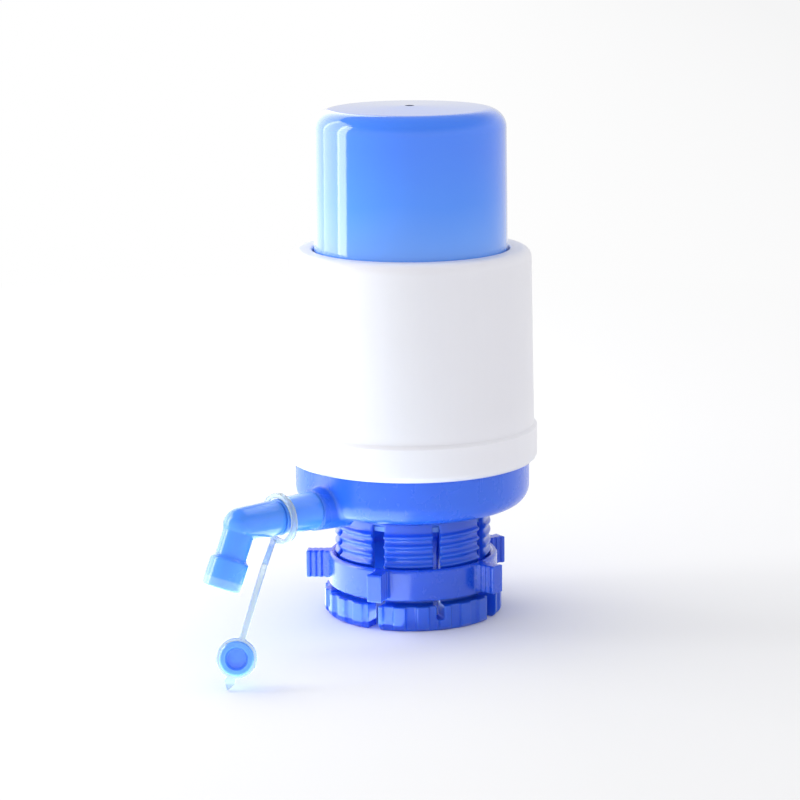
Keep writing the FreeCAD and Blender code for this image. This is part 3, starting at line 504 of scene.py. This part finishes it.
@dataclass(frozen=True)
class MilkyPlastic:
    """Milky translucent plastic with faint drawing marks down the wall."""

    name: str = "milky_housing_plastic"
    tone: Colour = (0.87, 0.87, 0.94)
    shade_tone: Colour = (0.82, 0.82, 0.90)
    roughness: float = 0.30
    haze: float = 0.10
    coat: float = 0.15
    coat_roughness: float = 0.2
    refraction: float = 1.46
    glow: float = 0.35
    glow_depth: float = 8.0 * MM
    glow_reach: Triple = (0.9, 0.95, 1.0)
    cloud_scale: float = 16.0
    cloud_share: float = 0.6
    draw_scale: float = 210.0
    draw_share: float = 0.4
    draw_stretch: Triple = (1.0, 1.0, 0.05)
    draw_haze: float = 0.06
    smudge_scale: float = 40.0
    edge_radius: float = 0.5 * MM
    grain: float = 0.08
    grain_scale: float = 900.0
    grain_depth: float = 0.2 * MM

    def make(self) -> bpy.types.Material:
        """Build the material.

        Returns:
            The finished material.
        """
        shader = Shader(bpy.data.materials.new(self.name))
        clouds = shader.noise(self.cloud_scale, detail=3.0)
        draw = shader.noise(self.draw_scale, detail=3.0, rough=0.6,
                            stretch=self.draw_stretch)
        mottle = clouds * self.cloud_share + draw * self.draw_share
        smudge = shader.noise(self.smudge_scale, detail=4.0, rough=0.6)
        rough = (self.roughness + smudge.above(level=0.47, soft=0.2) * self.haze
                 + draw * self.draw_haze)
        grain = (draw + shader.noise(self.grain_scale)) * 0.5
        rounded = shader.soft_edges(self.edge_radius)
        surface = shader.add(
            "ShaderNodeBsdfPrincipled",
            Base_Color=shader.blend(mottle, self.shade_tone, self.tone),
            Roughness=rough,
            IOR=self.refraction,
            Subsurface_Weight=self.glow,
            Subsurface_Radius=self.glow_reach,
            Subsurface_Scale=self.glow_depth,
            Coat_Weight=self.coat,
            Coat_Roughness=self.coat_roughness,
            Normal=shader.bump(grain, self.grain, self.grain_depth, rounded),
        )
        return shader.finish(shader.wire(surface))


@dataclass(frozen=True)
class ClearVinyl:
    """Soft translucent vinyl with a cloudy body and painted shade along its edges."""

    name: str = "clear_tether_vinyl"
    tone: Colour = (0.62, 0.80, 0.87)
    cloud_tone: Colour = (0.78, 0.90, 0.94)
    # Painted shade: the darker tone blended onto the rounded edges, for dark refraction
    # lines.
    painted_edge_tone: Colour = (0.28, 0.52, 0.66)
    roughness: float = 0.08
    cloud_haze: float = 0.12
    coat: float = 0.4
    coat_roughness: float = 0.06
    refraction: float = 1.46
    clear: float = 0.72
    glow: float = 0.1
    glow_depth: float = 2.0 * MM
    cloud_scale: float = 120.0
    edge_radius: float = 0.5 * MM
    painted_edge_share: float = 0.6
    ripple: float = 0.12
    ripple_scale: float = 330.0
    ripple_depth: float = 0.3 * MM

    def make(self) -> bpy.types.Material:
        """Build the material.

        Returns:
            The finished material.
        """
        shader = Shader(bpy.data.materials.new(self.name))
        rounded = shader.soft_edges(self.edge_radius)
        clouds = shader.noise(self.cloud_scale, detail=4.0, rough=0.6)
        body = shader.blend(clouds, self.tone, self.cloud_tone)
        # Painted shade: darker refraction lines blended onto the edges.
        edges = shader.edge_mask(rounded, level=0.01, soft=0.1) * self.painted_edge_share
        ripple = shader.noise(self.ripple_scale)
        surface = shader.add(
            "ShaderNodeBsdfPrincipled",
            Base_Color=shader.blend(edges, body, self.painted_edge_tone),
            Roughness=self.roughness + clouds * self.cloud_haze,
            IOR=self.refraction,
            Transmission_Weight=self.clear,
            Subsurface_Weight=self.glow,
            Subsurface_Scale=self.glow_depth,
            Coat_Weight=self.coat,
            Coat_Roughness=self.coat_roughness,
            Normal=shader.bump(ripple, self.ripple, self.ripple_depth, rounded),
        )
        return shader.finish(shader.wire(surface))


@dataclass(frozen=True)
class SoftRubber:
    """Matt silicone with a dusty grain."""

    name: str
    tone: Colour
    dust_tone: Colour
    roughness: float = 0.55
    dust_haze: float = 0.2
    dust_scale: float = 180.0
    grain: float = 0.2
    grain_scale: float = 1400.0
    grain_depth: float = 0.2 * MM

    def make(self) -> bpy.types.Material:
        """Build the material.

        Returns:
            The finished material.
        """
        shader = Shader(bpy.data.materials.new(self.name))
        dust = shader.noise(self.dust_scale, detail=5.0, rough=0.65)
        dust = dust.above(level=0.45, soft=0.25)
        grain = shader.noise(self.grain_scale)
        surface = shader.add(
            "ShaderNodeBsdfPrincipled",
            Base_Color=shader.blend(dust, self.tone, self.dust_tone),
            Roughness=self.roughness + dust * self.dust_haze,
            Normal=shader.bump(grain, self.grain, self.grain_depth),
        )
        return shader.finish(shader.wire(surface))


class Finish(Enum):
    """The finishes of the pump's pieces."""

    CAP_BLUE = CapPlastic(
        "polished_cap_blue", tone=(0.066, 0.285, 1.0), deep_tone=(0.046, 0.250, 0.98),
        painted_edge_tone=(0.22, 0.50, 1.0), roughness=0.08, haze=0.04, coat=1.0,
        coat_roughness=0.05, glow=0.12, glow_depth=4.0 * MM)
    AZURE = MouldedPlastic(
        "azure_body_plastic", tone=(0.018, 0.145, 0.86), deep_tone=(0.010, 0.115, 0.82),
        painted_edge_tone=(0.13, 0.34, 0.98), coat=0.4)
    BOWL = MouldedPlastic(
        "azure_bowl_plastic", tone=(0.022, 0.150, 0.86), deep_tone=(0.014, 0.122, 0.82),
        painted_edge_tone=(0.06, 0.24, 0.94), roughness=0.26, haze=0.05, coat=0.4,
        coat_roughness=0.24, edge_radius=2.2 * MM, painted_edge_share=0.4)
    COLLET = MouldedPlastic(
        "azure_collet_plastic", tone=(0.018, 0.145, 0.86), deep_tone=(0.010, 0.115, 0.82),
        painted_edge_tone=(0.14, 0.36, 0.98), roughness=0.3, coat=0.5, clear=0.3,
        edge_radius=0.7 * MM, painted_edge_share=0.7)
    SPOUT_BLUE = SpoutPlastic(
        "clear_azure_spout_plastic", tone=(0.066, 0.280, 0.98),
        deep_tone=(0.046, 0.240, 0.96), painted_edge_tone=(0.20, 0.46, 1.0), roughness=0.18,
        mouth=(-0.07580, -0.06590, 0.02675), outward=(-0.29852, -0.25950, -0.91845))
    DEEP_BLUE = MouldedPlastic(
        "deep_blue_nut_plastic", tone=(0.010, 0.090, 0.66), deep_tone=(0.007, 0.074, 0.62),
        painted_edge_tone=(0.18, 0.40, 0.93), coat=0.5, edge_radius=0.7 * MM, painted_edge_share=0.7)
    DUST_BLUE = MouldedPlastic(
        "dust_cap_blue", tone=(0.170, 0.440, 1.0), deep_tone=(0.022, 0.160, 0.90),
        painted_edge_tone=(0.24, 0.50, 1.0), roughness=0.12, cloud_scale=170.0)
    MILKY = MilkyPlastic()
    VINYL = ClearVinyl()
    BELLOWS = MouldedPlastic(
        "white_bellows_plastic", tone=(0.82, 0.83, 0.84), deep_tone=(0.76, 0.77, 0.79),
        painted_edge_tone=(0.86, 0.87, 0.88), roughness=0.4, coat=0.0)
    SILICONE = SoftRubber("white_silicone", tone=(0.78, 0.79, 0.80),
                          dust_tone=(0.86, 0.86, 0.86))
    GASKET = SoftRubber("clear_blue_silicone", tone=(0.16, 0.36, 0.86),
                        dust_tone=(0.24, 0.44, 0.88))


class FinishShelf:
    """Makes each finish once and hands it out."""

    def __init__(self) -> None:
        """Start with no material made."""
        self._made: dict[Finish, bpy.types.Material] = {}

    def get(self, finish: Finish) -> bpy.types.Material:
        """Give a finish's material.

        Args:
            finish: Which finish.

        Returns:
            Its material, made at the first call.
        """
        if finish not in self._made:
            self._made[finish] = finish.value.make()
        return self._made[finish]

    def dress(self, piece: bpy.types.Object, finish: Finish) -> None:
        """Give a piece one finish all over.

        Args:
            piece: The mesh object.
            finish: Which finish.
        """
        piece.data.materials.clear()
        piece.data.materials.append(self.get(finish))


# --- modelling -----------------------------------------------------------------------


class Turning:
    """A mesh turned about the Z axis, made in edit mode one ring at a time."""

    SIDES = 128

    def __init__(self, name: str, radius: float, height: float) -> None:
        """Start with one open ring.

        Args:
            name: Name of the new object.
            radius: Radius of the first ring.
            height: Height of the first ring.
        """
        bpy.ops.object.select_all(action="DESELECT")
        bpy.ops.mesh.primitive_circle_add(vertices=self.SIDES, radius=radius,
                                          location=(0.0, 0.0, height))
        self.piece = bpy.context.object
        self.piece.name = name
        self.piece.data.name = name
        bpy.ops.object.transform_apply(location=True, rotation=True, scale=True)
        bpy.ops.object.mode_set(mode="EDIT")
        bpy.ops.mesh.select_mode(type="EDGE")
        bpy.ops.mesh.select_all(action="SELECT")
        self.radius = radius
        self.height = height
        self.first = (radius, height)

    def to(self, radius: float, height: float) -> "Turning":
        """Extrude the open ring to a new radius and height.

        Args:
            radius: The new ring's radius.
            height: The new ring's height.

        Returns:
            This turning.
        """
        bpy.ops.mesh.extrude_region_move(
            TRANSFORM_OT_translate={"value": (0.0, 0.0, height - self.height)})
        scale = radius / self.radius
        bpy.ops.transform.resize(value=(scale, scale, 1.0),
                                 center_override=(0.0, 0.0, height))
        self.radius = radius
        self.height = height
        return self

    def select_ring(self, *rings: tuple[float, float]) -> None:
        """Select rings by their radius and height.

        Args:
            rings: (radius, height) of each ring.
        """
        bpy.ops.mesh.select_all(action="DESELECT")
        mesh = bmesh.from_edit_mesh(self.piece.data)
        for edge in mesh.edges:
            for radius, height in rings:
                if all(abs(end.co.z - height) < RING_GAP
                       and abs(math.hypot(end.co.x, end.co.y) - radius) < RING_GAP
                       for end in edge.verts):
                    edge.select_set(True)
        bmesh.update_edit_mesh(self.piece.data)

    def close(self) -> "Turning":
        """Join the open ring to the first one.

        Returns:
            This turning.
        """
        self.select_ring(self.first, (self.radius, self.height))
        bpy.ops.mesh.bridge_edge_loops()
        return self

    def soften(self, radius: float, height: float, width: float, steps: int) -> None:
        """Round one ring's edge.

        Args:
            radius: The ring's radius.
            height: The ring's height.
            width: Width of the rounding.
            steps: Steps across it.
        """
        self.select_ring((radius, height))
        bpy.ops.mesh.bevel(offset=width, segments=steps, affect="EDGES", profile=0.5,
                           offset_type="OFFSET", clamp_overlap=False)

    def done(self, smooth_angle: float = 35.0) -> bpy.types.Object:
        """Leave edit mode with the faces outwards and smoothed.

        Args:
            smooth_angle: Edges under this angle are smoothed, in degrees.

        Returns:
            The finished object.
        """
        bpy.ops.mesh.select_all(action="SELECT")
        bpy.ops.mesh.remove_doubles(threshold=WELD_GAP)
        bpy.ops.mesh.normals_make_consistent(inside=False)
        bpy.ops.object.mode_set(mode="OBJECT")
        bpy.ops.object.shade_smooth_by_angle(angle=math.radians(smooth_angle))
        return self.piece


class Recast:
    """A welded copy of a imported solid, recast in fine even faces so its edges are soft."""

    EASE_SHARE = 0.5

    def __init__(self, source: bpy.types.Object, name: str) -> None:
        """Copy the solid and weld its loose triangles.

        Args:
            source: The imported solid.
            name: Name of the new object.
        """
        bpy.ops.object.select_all(action="DESELECT")
        mesh = source.data.copy()
        mesh.name = name
        self.piece = bpy.data.objects.new(name, mesh)
        bpy.context.scene.collection.objects.link(self.piece)
        self.piece.select_set(True)
        bpy.context.view_layer.objects.active = self.piece
        self._edit("SELECT")
        bpy.ops.mesh.remove_doubles(threshold=WELD_GAP)
        bpy.ops.object.mode_set(mode="OBJECT")

    def _edit(self, action: str) -> None:
        """Enter edit mode on the points.

        Args:
            action: SELECT for all of them or DESELECT for none.
        """
        bpy.ops.object.mode_set(mode="EDIT")
        bpy.ops.mesh.select_mode(type="VERT")
        bpy.ops.mesh.select_all(action=action)

    def shift(self, rise: Callable[[Vector], float]) -> "Recast":
        """Raise each point by an amount that depends on its place.

        Args:
            rise: Gives the amount for a place.

        Returns:
            This recast.
        """
        for point in self.piece.data.vertices:
            point.co.z += rise(point.co)
        return self

    def cut(self, place: Vector, off: Vector) -> "Recast":
        """Cut the copy with a plane and close the cut.

        Args:
            place: A point on the plane.
            off: Direction of the side that falls away.

        Returns:
            This recast.
        """
        self._edit("SELECT")
        bpy.ops.mesh.bisect(plane_co=place, plane_no=off, use_fill=True, clear_outer=True)
        bpy.ops.object.mode_set(mode="OBJECT")
        return self

    def keep_shell(self, place: Vector) -> "Recast":
        """Keep only the closed shell that comes nearest to a place.

        Args:
            place: A place on the shell that is kept.

        Returns:
            This recast.
        """
        self._edit("DESELECT")
        mesh = bmesh.from_edit_mesh(self.piece.data)
        nearest = min(mesh.verts, key=lambda point: (point.co - place).length)
        nearest.select_set(True)
        bmesh.update_edit_mesh(self.piece.data)
        bpy.ops.mesh.select_linked()
        bpy.ops.mesh.select_all(action="INVERT")
        bpy.ops.mesh.delete(type="VERT")
        bpy.ops.object.mode_set(mode="OBJECT")
        return self

    def sink(self, depth: float) -> "Recast":
        """Draw the whole surface inwards.

        Args:
            depth: How far.

        Returns:
            This recast.
        """
        self._edit("SELECT")
        bpy.ops.transform.shrink_fatten(value=-depth)
        bpy.ops.object.mode_set(mode="OBJECT")
        return self

    def cast(self, grain: float) -> "Recast":
        """Remesh the copy evenly.

        Args:
            grain: Size of the faces.

        Returns:
            This recast.
        """
        remesh = self.piece.modifiers.new("even_faces", "REMESH")
        remesh.mode = "VOXEL"
        remesh.voxel_size = grain
        bpy.ops.object.modifier_apply(modifier=remesh.name)
        return self

    def ease(self, rounds: int,
             where: Callable[[Vector], bool] | None = None) -> "Recast":
        """Relax the faces, all of them or those in one place.

        Args:
            rounds: How many times a point moves towards its neighbours' middle.
            where: Tells whether a place is eased, or none for everywhere.

        Returns:
            This recast.
        """
        self._edit("SELECT" if where is None else "DESELECT")
        if where is not None:
            mesh = bmesh.from_edit_mesh(self.piece.data)
            for point in mesh.verts:
                if where(point.co):
                    point.select_set(True)
            mesh.select_flush_mode()
            bmesh.update_edit_mesh(self.piece.data)
        bpy.ops.mesh.vertices_smooth(factor=self.EASE_SHARE, repeat=rounds)
        bpy.ops.object.mode_set(mode="OBJECT")
        return self

    def done(self) -> bpy.types.Object:
        """Smooth the shading and hand over the piece.

        Returns:
            The finished object.
        """
        bpy.ops.object.shade_smooth()
        LOG.info("%s has %d faces", self.piece.name, len(self.piece.data.polygons))
        return self.piece


# --- sub-assemblies ------------------------------------------------------------------


@dataclass
class SubAssembly:
    """A group of pieces that are dressed together."""

    frame: dict[str, Any]
    shelf: FinishShelf

    def dress_node(self, node: str, finish: Finish) -> None:
        """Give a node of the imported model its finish.

        Args:
            node: The node's name.
            finish: Its finish.
        """
        self.shelf.dress(self.frame["nodes"][node], finish)
        LOG.info("dressed %s with %s", node, finish.name)

    def seat(self, piece: bpy.types.Object, body: str, finish: Finish, slot: str,
             *nodes: str) -> None:
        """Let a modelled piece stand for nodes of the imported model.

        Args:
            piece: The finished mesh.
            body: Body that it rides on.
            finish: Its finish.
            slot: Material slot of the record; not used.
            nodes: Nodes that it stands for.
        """
        self.shelf.dress(piece, finish)
        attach(piece, body)
        if nodes:
            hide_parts(*nodes)
        LOG.info("modelled %s for %s", piece.name, ", ".join(nodes) or "detail")


@dataclass
class PressHead(SubAssembly):
    """The press cap with the bellows under it, its rings and the intake valve."""

    folds: int = 10
    fold_rise: float = 3.0 * MM
    fold_round: float = 0.7 * MM
    fold_steps: int = 3
    fold_smooth: float = 50.0
    valley: float = 30.6 * MM
    crest: float = 35.8 * MM
    wall: float = 1.0 * MM
    foot: float = 29.6 * MM
    foot_height: float = 7.0 * MM
    throat: float = 12.2 * MM
    hole: float = 6.5 * MM
    plate: float = 2.0 * MM
    clip_play: float = 0.1 * MM
    stroke: float = 45.0 * MM

    def build(self) -> None:
        """Dress the cap's pieces and model the bellows."""
        self.dress_node("press_cap", Finish.CAP_BLUE)
        self.dress_node("intake_valve_seat", Finish.AZURE)
        self.dress_node("intake_valve", Finish.SILICONE)
        self.dress_node("bellows_clip_ring", Finish.MILKY)
        self.dress_node("bellows_clamp_ring", Finish.MILKY)
        self.dress_node("bellows_seal", Finish.SILICONE)
        low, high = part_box("bellows")
        start = low.z + self.foot_height
        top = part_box("bellows_clip_ring")[0].z - self.clip_play
        self.build_foot(low.z, start)
        self.build_folds(start, top)
        self.build_throat(top, high.z)

    def build_foot(self, low: float, start: float) -> None:
        """Model the bellows' lower neck, which is clamped on the bowl's collar.

        Args:
            low: Height of its foot.
            start: Height at which the folds start.
        """
        shape = Turning("bellows_foot", self.foot + self.wall, low)
        shape.to(self.foot + self.wall, start).to(self.foot, start).to(self.foot, low)
        self.seat(shape.close().done(), "pump", Finish.BELLOWS, "bellows_plastic")

    def build_folds(self, start: float, top: float) -> None:
        """Model the folded wall, which on the real pump closes up as the cap is pressed.

        Args:
            start: Height of its lower edge.
            top: Height of its upper edge.
        """
        first = start + self.fold_rise
        fold = (top - self.fold_rise - first) / self.folds
        line = [(self.foot + self.wall, start), (self.valley, first)]
        for number in range(self.folds):
            line.append((self.crest, first + fold * (number + 0.5)))
            line.append((self.valley, first + fold * (number + 1.0)))
        line.append((self.valley - self.wall, top))
        shape = Turning("bellows_folds", *line[0])
        for radius, height in line[1:]:
            shape.to(radius, height)
        for radius, height in reversed(line):
            shape.to(radius - self.wall, height)
        shape.close()
        for radius, height in line[1:-1]:
            shape.soften(radius, height, self.fold_round, self.fold_steps)
            shape.soften(radius - self.wall, height, self.fold_round, self.fold_steps)
        piece = shape.done(self.fold_smooth)
        self.seat(piece, "pump", Finish.BELLOWS, "bellows_plastic", "bellows")
        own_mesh(piece)

    def build_throat(self, top: float, high: float) -> None:
        """Model the plate and the upper neck, which is clipped on the cap's collar.

        Args:
            top: Height of the plate's upper face.
            high: Height of the neck's edge.
        """
        edge = self.valley - self.wall * 2.0
        shape = Turning("bellows_throat", edge, top)
        for radius, height in (
            (self.throat + self.wall, top), (self.throat + self.wall, high),
            (self.throat, high), (self.throat, top), (self.hole, top),
            (self.hole, top - self.plate), (edge, top - self.plate),
        ):
            shape.to(radius, height)
        piece = shape.close().done()
        self.seat(piece, "press_cap", Finish.BELLOWS, "bellows_plastic")


@dataclass
class PumpBody(SubAssembly):
    """The bowl, its housing and what is fixed in it."""

    boss_out: Triple = (-0.75471, -0.65606, 0.0)
    boss_height: float = 51.0 * MM
    boss_core: float = 7.0 * MM
    blend_from: float = 29.0 * MM
    blend_to: float = 51.0 * MM
    blend_half_width: float = 17.0 * MM
    end_margin: float = 3.0 * MM
    side_margin: float = 2.5 * MM
    blend_rounds: int = 90
    fairing_grain: float = 0.4 * MM
    fairing_sink: float = 0.03 * MM

    def build(self) -> None:
        """Dress the pump's fixed pieces."""
        self.dress_node("outer_housing", Finish.MILKY)
        self.dress_node("pump_base", Finish.BOWL)
        self.dress_node("outlet_valve_seat", Finish.AZURE)
        self.dress_node("outlet_valve", Finish.SILICONE)
        self.dress_node("jug_gasket", Finish.GASKET)
        self.build_boss_fairing()

    def build_boss_fairing(self) -> None:
        """Model the rounded blend between the boss and the bowl."""
        out = Vector(self.boss_out)
        side = UP.cross(out)
        root = UP * self.boss_height
        fairing = Recast(self.frame["nodes"]["pump_base"], "boss_fairing")
        fairing.cut(root + out * self.blend_from, -out)
        fairing.cut(root + out * self.blend_to, out)
        for way in (side, -side, UP):
            fairing.cut(root + way * self.blend_half_width, way)

        def near_the_boss(place: Vector) -> bool:
            """Tell whether a place is in the corner between the boss and the bowl.

            Args:
                place: The place.

            Returns:
                True in that corner.
            """
            along = (place - root).dot(out)
            away = (place - root - out * along).length
            start, end = self.blend_from + self.end_margin, self.blend_to - self.end_margin
            edge = self.blend_half_width - self.side_margin
            return start < along < end and self.boss_core < away < edge

        fairing.cast(self.fairing_grain)
        fairing.keep_shell(root + out * self.blend_to + side * self.boss_core)
        fairing.ease(self.blend_rounds, near_the_boss)
        piece = fairing.sink(self.fairing_sink).done()
        self.seat(piece, "pump", Finish.BOWL, "azure_plastic")


@dataclass
class NeckClamp(SubAssembly):
    """The petals' collet and the nut that closes it."""

    pitch: float = 4.0 * MM
    petals: int = 8
    first_slot: float = -27.0
    row_foot: float = 12.0 * MM
    row_top: float = 43.0 * MM
    row_ramp: float = 1.0 * MM
    petal_root: float = 9.3 * MM
    foot_top: float = 11.0 * MM
    petal_grain: float = 0.48 * MM
    petal_rounds: int = 3
    foot_grain: float = 0.34 * MM
    foot_rounds: int = 2
    nut_grain: float = 0.36 * MM
    nut_rounds: int = 4

    def build(self) -> None:
        """Model and dress the collet and the nut."""
        self.build_collet()
        self.build_nut()

    def thread_rise(self, place: Vector) -> float:
        """Give how far the thread's lean lifts a point of a petal.

        Args:
            place: The point.

        Returns:
            The lift, which fades to nothing under and over the thread.
        """
        sector = 360.0 / self.petals
        bearing = math.degrees(math.atan2(place.y, place.x)) - self.first_slot
        along = (bearing % sector) / sector - 0.5
        fade = min((place.z - self.row_foot) / self.row_ramp,
                   (self.row_top - place.z) / self.row_ramp)
        return along * self.pitch / self.petals * max(0.0, min(1.0, fade))

    def build_collet(self) -> None:
        """Model the collet with its thread's lean and the moulding's soft edges."""
        source = self.frame["nodes"]["neck_collet"]
        petals = Recast(source, "collet_petals").cut(UP * self.petal_root, -UP)
        petals.shift(self.thread_rise).cast(self.petal_grain).ease(self.petal_rounds)
        self.seat(petals.done(), "pump", Finish.COLLET, "azure_plastic", "neck_collet")
        foot = Recast(source, "collet_foot").cut(UP * self.foot_top, UP)
        foot.cast(self.foot_grain).ease(self.foot_rounds)
        self.seat(foot.done(), "pump", Finish.COLLET, "azure_plastic", "neck_collet")

    def build_nut(self) -> None:
        """Model the nut with the moulding's soft edges."""
        nut = Recast(self.frame["nodes"]["clamp_nut"], "nut_ring")
        piece = nut.cast(self.nut_grain).ease(self.nut_rounds).done()
        self.seat(piece, "clamp_nut", Finish.DEEP_BLUE, "deep_blue_plastic", "clamp_nut")


@dataclass
class SpoutLine(SubAssembly):
    """The connector, the turning spout and their seals."""

    elbow_grain: float = 0.32 * MM
    elbow_rounds: int = 6

    def build(self) -> None:
        """Dress the spout line."""
        self.dress_node("spout_connector", Finish.SPOUT_BLUE)
        elbow = Recast(self.frame["nodes"]["spout"], "spout_elbow")
        piece = elbow.cast(self.elbow_grain).ease(self.elbow_rounds).done()
        self.seat(piece, "spout", Finish.SPOUT_BLUE, "azure_plastic", "spout")
        self.dress_node("connector_o_ring", Finish.SILICONE)
        self.dress_node("swivel_o_ring", Finish.SILICONE)


@dataclass
class DustCap(SubAssembly):
    """The tether and the cap on its end."""

    strap_grain: float = 0.26 * MM
    strap_rounds: int = 4

    def build(self) -> None:
        """Dress the tether and the dust cap."""
        strap = Recast(self.frame["nodes"]["tether"], "tether_strap")
        piece = strap.cast(self.strap_grain).ease(self.strap_rounds).done()
        self.seat(piece, "tether", Finish.VINYL, "clear_vinyl", "tether")
        self.dress_node("dust_cap", Finish.DUST_BLUE)


# --- set -----------------------------------------------------------------------------


@dataclass(frozen=True)
class Softbox:
    """A rectangular lamp that faces a point near the pump."""

    name: str
    bearing: float
    elevation: float
    distance: float
    width: float
    height: float
    radiance: float
    aim: Triple = (0.0, 0.0, 0.1)
    colour: Colour = (1.0, 1.0, 1.0)

    def hang(self) -> None:
        """Hang the lamp."""
        data = bpy.data.lights.new(self.name, "AREA")
        data.shape = "RECTANGLE"
        data.size = self.width
        data.size_y = self.height
        data.color = self.colour
        data.energy = self.radiance * math.pi * self.width * self.height
        lamp = bpy.data.objects.new(self.name, data)
        bpy.context.scene.collection.objects.link(lamp)
        side = math.radians(self.bearing)
        lift = math.radians(self.elevation)
        aim = Vector(self.aim)
        away = Vector((math.cos(lift) * math.sin(side), -math.cos(lift) * math.cos(side),
                       math.sin(lift)))
        lamp.location = aim + away * self.distance
        lamp.rotation_mode = "QUATERNION"
        lamp.rotation_quaternion = (-away).to_track_quat("-Z", "Y")
        lamp.visible_camera = False
        lamp.visible_transmission = False


@dataclass(frozen=True)
class Studio:
    """The floor, the light and the camera."""

    floor_size: float = 14.0
    floor_shift: float = 2.0
    floor_grain: float = 3.0
    floor_tone: Colour = (0.82, 0.82, 0.83)
    floor_grain_tone: Colour = (0.84, 0.84, 0.845)
    # Painted light: the backdrop glows brighter on the left, the lamps' side.
    backdrop_left: Colour = (1.0, 1.0, 1.0)
    backdrop_right: Colour = (0.915, 0.915, 0.92)
    backdrop_turn: float = 0.6
    backdrop_start: float = 0.35
    backdrop_blend: float = 0.55
    ambient: float = 0.93
    white: float = 1.0
    shine: float = 0.82
    overhead_dim: float = 0.44
    overhead_start: float = 0.3
    overhead_blend: float = 0.35
    lens: float = 130.5
    sensor: float = 36.0
    camera_reach: float = 100.0
    camera_at: Triple = (0.0, -1.171453, 0.326468)
    camera_right: Triple = (0.999964, 0.002528, -0.008147)
    camera_up: Triple = (0.007482, 0.198803, 0.980011)
    lamps: tuple[Softbox, ...] = (
        Softbox("window_edge", bearing=-86.5, elevation=6.0, distance=0.85, width=0.21,
                height=1.1, radiance=4.8),
        Softbox("window", bearing=-107.0, elevation=14.0, distance=1.0, width=0.58,
                height=1.2, radiance=2.2),
        Softbox("window_return", bearing=-146.5, elevation=14.0, distance=1.0, width=0.98,
                height=1.2, radiance=1.1),
        Softbox("floor_bounce", bearing=-90.0, elevation=-89.9, distance=0.02, width=0.19,
                height=0.36, radiance=2.5, aim=(-0.185, -0.04, 0.023),
                colour=(0.76, 0.95, 1.0)),
    )

    def build(self) -> None:
        """Make the set."""
        self.lay_floor()
        self.light_world()
        for lamp in self.lamps:
            lamp.hang()
        self.place_camera()

    def lay_floor(self) -> None:
        """Lay the pale floor, which turns into a bright backdrop away from the pump, with
        painted light that makes the backdrop brighter on the left.
        """
        bpy.ops.object.select_all(action="DESELECT")
        bpy.ops.mesh.primitive_plane_add(size=self.floor_size,
                                         location=(0.0, self.floor_shift, 0.0))
        bpy.ops.object.transform_apply(location=True, rotation=True, scale=True)
        floor = bpy.context.object
        floor.name = "floor"
        shader = Shader(bpy.data.materials.new("pale_floor"))
        grain = shader.noise(self.floor_grain)
        tint = shader.blend(grain, self.floor_tone, self.floor_grain_tone)
        surface = shader.add("ShaderNodeBsdfDiffuse", Color=tint)
        where = shader.add("ShaderNodeSeparateXYZ", Vector=shader.place())
        # Painted light: the backdrop's glow fades from the left to the right.
        across = shader.wire(where, "X").above(level=0.0, soft=self.backdrop_turn)
        away = shader.vector("LENGTH", shader.place())
        away = away.above(self.backdrop_start, self.backdrop_blend)
        seen = shader.wire(shader.add("ShaderNodeLightPath"), "Is Camera Ray")
        glow = shader.blend(across, self.backdrop_left, self.backdrop_right)
        paper = shader.add("ShaderNodeEmission", Color=glow, Strength=self.white)
        mixed = shader.add("ShaderNodeMixShader", sockets=dict(enumerate(
            (seen * away, shader.wire(surface), shader.wire(paper)))))
        floor.data.materials.append(shader.finish(shader.wire(mixed)))

    def light_world(self) -> None:
        """Set the soft light from all round, with white behind the pump."""
        world = bpy.data.worlds.new("soft_light")
        bpy.context.scene.world = world
        shader = Shader(world)
        path = shader.add("ShaderNodeLightPath")
        seen = shader.wire(path, "Is Camera Ray") + shader.wire(path, "Is Transmission Ray")
        seen = seen.above(level=0.0, soft=0.5)
        where = shader.wire(shader.add("ShaderNodeTexCoord"), "Generated")
        split = shader.add("ShaderNodeSeparateXYZ", Vector=where)
        overhead = shader.wire(split, "Z").above(self.overhead_start, self.overhead_blend)
        shine = self.shine - self.ambient - overhead * self.overhead_dim
        strength = (self.ambient + seen * (self.white - self.ambient)
                    + shader.wire(path, "Is Glossy Ray") * shine)
        sky = shader.add("ShaderNodeBackground", Color=(1.0, 1.0, 1.0), Strength=strength)
        shader.finish(shader.wire(sky), "ShaderNodeOutputWorld")

    def place_camera(self) -> None:
        """Place the camera."""
        data = bpy.data.cameras.new("camera")
        data.lens = self.lens
        data.sensor_width = self.sensor
        data.clip_end = self.camera_reach
        camera = bpy.data.objects.new("camera", data)
        bpy.context.scene.collection.objects.link(camera)
        right = Vector(self.camera_right)
        up = Vector(self.camera_up)
        back = right.cross(up)
        turn = Matrix((right, up, back)).transposed().to_4x4()
        camera.matrix_world = Matrix.Translation(Vector(self.camera_at)) @ turn
        bpy.context.scene.camera = camera


def main() -> None:
    """Load the frame, dress the pump and set the stage."""
    logging.basicConfig(level=logging.INFO, format="%(name)s: %(message)s")
    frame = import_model()
    bpy.context.scene.view_settings.view_transform = "Standard"
    shelf = FinishShelf()
    Studio().build()
    for assembly in (PumpBody, PressHead, NeckClamp, SpoutLine, DustCap):
        assembly(frame, shelf).build()


if __name__ == "__main__":
    main()
